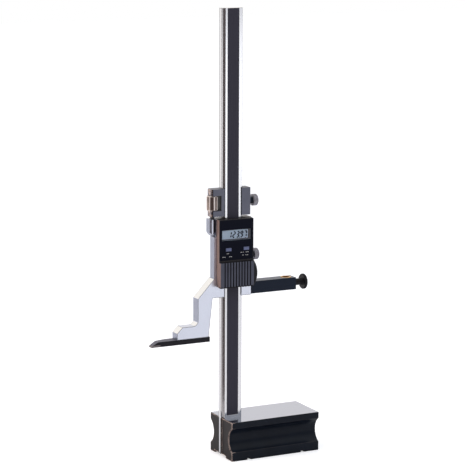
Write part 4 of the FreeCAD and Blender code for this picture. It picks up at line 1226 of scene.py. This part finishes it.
def make_stage():
    """A pale floor that keeps the object's shadow, and the cards that the steel reflects."""
    bpy.ops.mesh.primitive_plane_add(size=2 * FLOOR_HALF, location=(0, 0, -FLOOR_DROP))
    floor = bpy.context.object
    floor.name = "floor"
    tree, shader = new_material("floor_pale")
    faint = noise(tree, scale=3.0, detail=2.0)
    pale = blend_colours(tree, faint, PALE, lighter(PALE, 1.02))
    tree.links.new(pale, shader.inputs["Base Color"])
    set_matt(shader)
    shader.inputs["Emission Color"].default_value = (*PALE, 1.0)
    path = add_node(tree, "ShaderNodeLightPath")
    far = ramp(tree, times(tree, position_of(tree)["Y"], -1.0), FAR_GLOW_FROM, FAR_GLOW_TO)
    glow = math_node(tree, "ADD", times(tree, path.outputs["Is Camera Ray"], FLOOR_GLOW),
                     times(tree, path.outputs["Is Glossy Ray"], far))
    tree.links.new(glow, shader.inputs["Emission Strength"])
    floor.data.materials.append(MATERIALS["floor_pale"])

    make_card("dark_card", place=(-0.20, -0.16, 0.235), size=(0.32, 0.47), turn=-0.82,
              colour=(0.20, 0.17, 0.17))
    make_card("warm_card", place=(-0.40, 0.71, 0.22), size=(0.7, 0.5), turn=CAMERA_AZIMUTH,
              colour=(1.0, 0.97, 0.955))


def glossy_surroundings(tree):
    """What reflections see: darker towards the front, pale behind, brightest overhead."""
    toward = axes_of(tree, add_node(tree, "ShaderNodeTexCoord").outputs["Generated"])
    front = ramp(tree, times(tree, toward["Y"], -1.0), 0.1, 0.6)
    level = blend_colours(tree, front, ROOM_BEHIND, ROOM_FRONT)
    return blend_colours(tree, ramp(tree, toward["Z"], 0.25, 0.60), level, ROOM_TOP)


def make_world():
    """White to look at, a plain soft light on the object and a shaded room for reflections."""
    world = bpy.data.worlds.new("studio")
    bpy.context.scene.world = world
    world.use_nodes = True
    tree = world.node_tree
    tree.nodes.clear()
    backgrounds = []
    for colour, strength in ((SOFT_COLOUR, SOFT_LIGHT), (WHITE, 1.0), (WHITE, 1.0)):
        background = add_node(tree, "ShaderNodeBackground")
        background.inputs["Color"].default_value = (*colour, 1.0)
        background.inputs["Strength"].default_value = strength
        backgrounds.append(background.outputs["Background"])
    soft, shown, room = backgrounds
    tree.links.new(glossy_surroundings(tree), room.node.inputs["Color"])
    path = add_node(tree, "ShaderNodeLightPath")
    seen = math_node(tree, "MAXIMUM", path.outputs["Is Camera Ray"],
                     path.outputs["Is Transmission Ray"])
    lighting = mix_shaders(tree, path.outputs["Is Glossy Ray"], soft, room)
    output = add_node(tree, "ShaderNodeOutputWorld")
    tree.links.new(mix_shaders(tree, seen, lighting, shown), output.inputs["Surface"])


def make_lamp(name, place, size, power, colour):
    """A soft area lamp that points at the object."""
    data = bpy.data.lights.new(name, "AREA")
    data.shape = "DISK"
    data.size = size
    data.energy = power
    data.color = colour
    lamp = bpy.data.objects.new(name, data)
    bpy.context.scene.collection.objects.link(lamp)
    lamp.location = place
    lamp.rotation_mode = "QUATERNION"
    lamp.rotation_quaternion = (LAMP_TARGET - Vector(place)).to_track_quat("-Z", "Y")
    lamp.visible_glossy = False


def make_lamps():
    """A soft key lamp from above and a warm one from the left."""
    make_lamp("key_lamp", place=(0.25, -0.9, 1.5), size=0.9, power=5.0, colour=(1.0, 0.99, 0.98))
    make_lamp("left_lamp", place=(-1.3, 0.35, 0.45), size=0.8, power=14.0, colour=(1.0, 0.86, 0.78))


def make_camera():
    """The camera at the photograph's place."""
    data = bpy.data.cameras.new("camera")
    data.sensor_width = SENSOR_WIDTH
    data.lens = SENSOR_WIDTH * FOCAL_PIXELS / PHOTO_SIDE
    data.clip_start = 0.05
    data.clip_end = 50.0
    camera = bpy.data.objects.new("camera", data)
    bpy.context.scene.collection.objects.link(camera)
    back = Vector((-math.sin(CAMERA_AZIMUTH) * math.cos(CAMERA_ELEVATION),
                   -math.cos(CAMERA_AZIMUTH) * math.cos(CAMERA_ELEVATION),
                   math.sin(CAMERA_ELEVATION)))
    camera.location = CAMERA_TARGET + back * CAMERA_DISTANCE
    camera.rotation_mode = "QUATERNION"
    aim = (-back).to_track_quat("-Z", "Y").to_matrix()
    roll = Matrix.Rotation(CAMERA_ROLL, 3, "Z")
    camera.rotation_quaternion = (aim @ roll).to_quaternion()
    bpy.context.scene.camera = camera


make_materials()
dress_nodes()
make_cap_screws()
make_set_screws()
make_lead_screw()
make_thumb_screws()
make_knob()
make_nut()
make_digits()
make_bezel()
make_marks()
make_stage()
make_world()
make_lamps()
make_camera()
bpy.context.scene.view_settings.view_transform = "Standard"
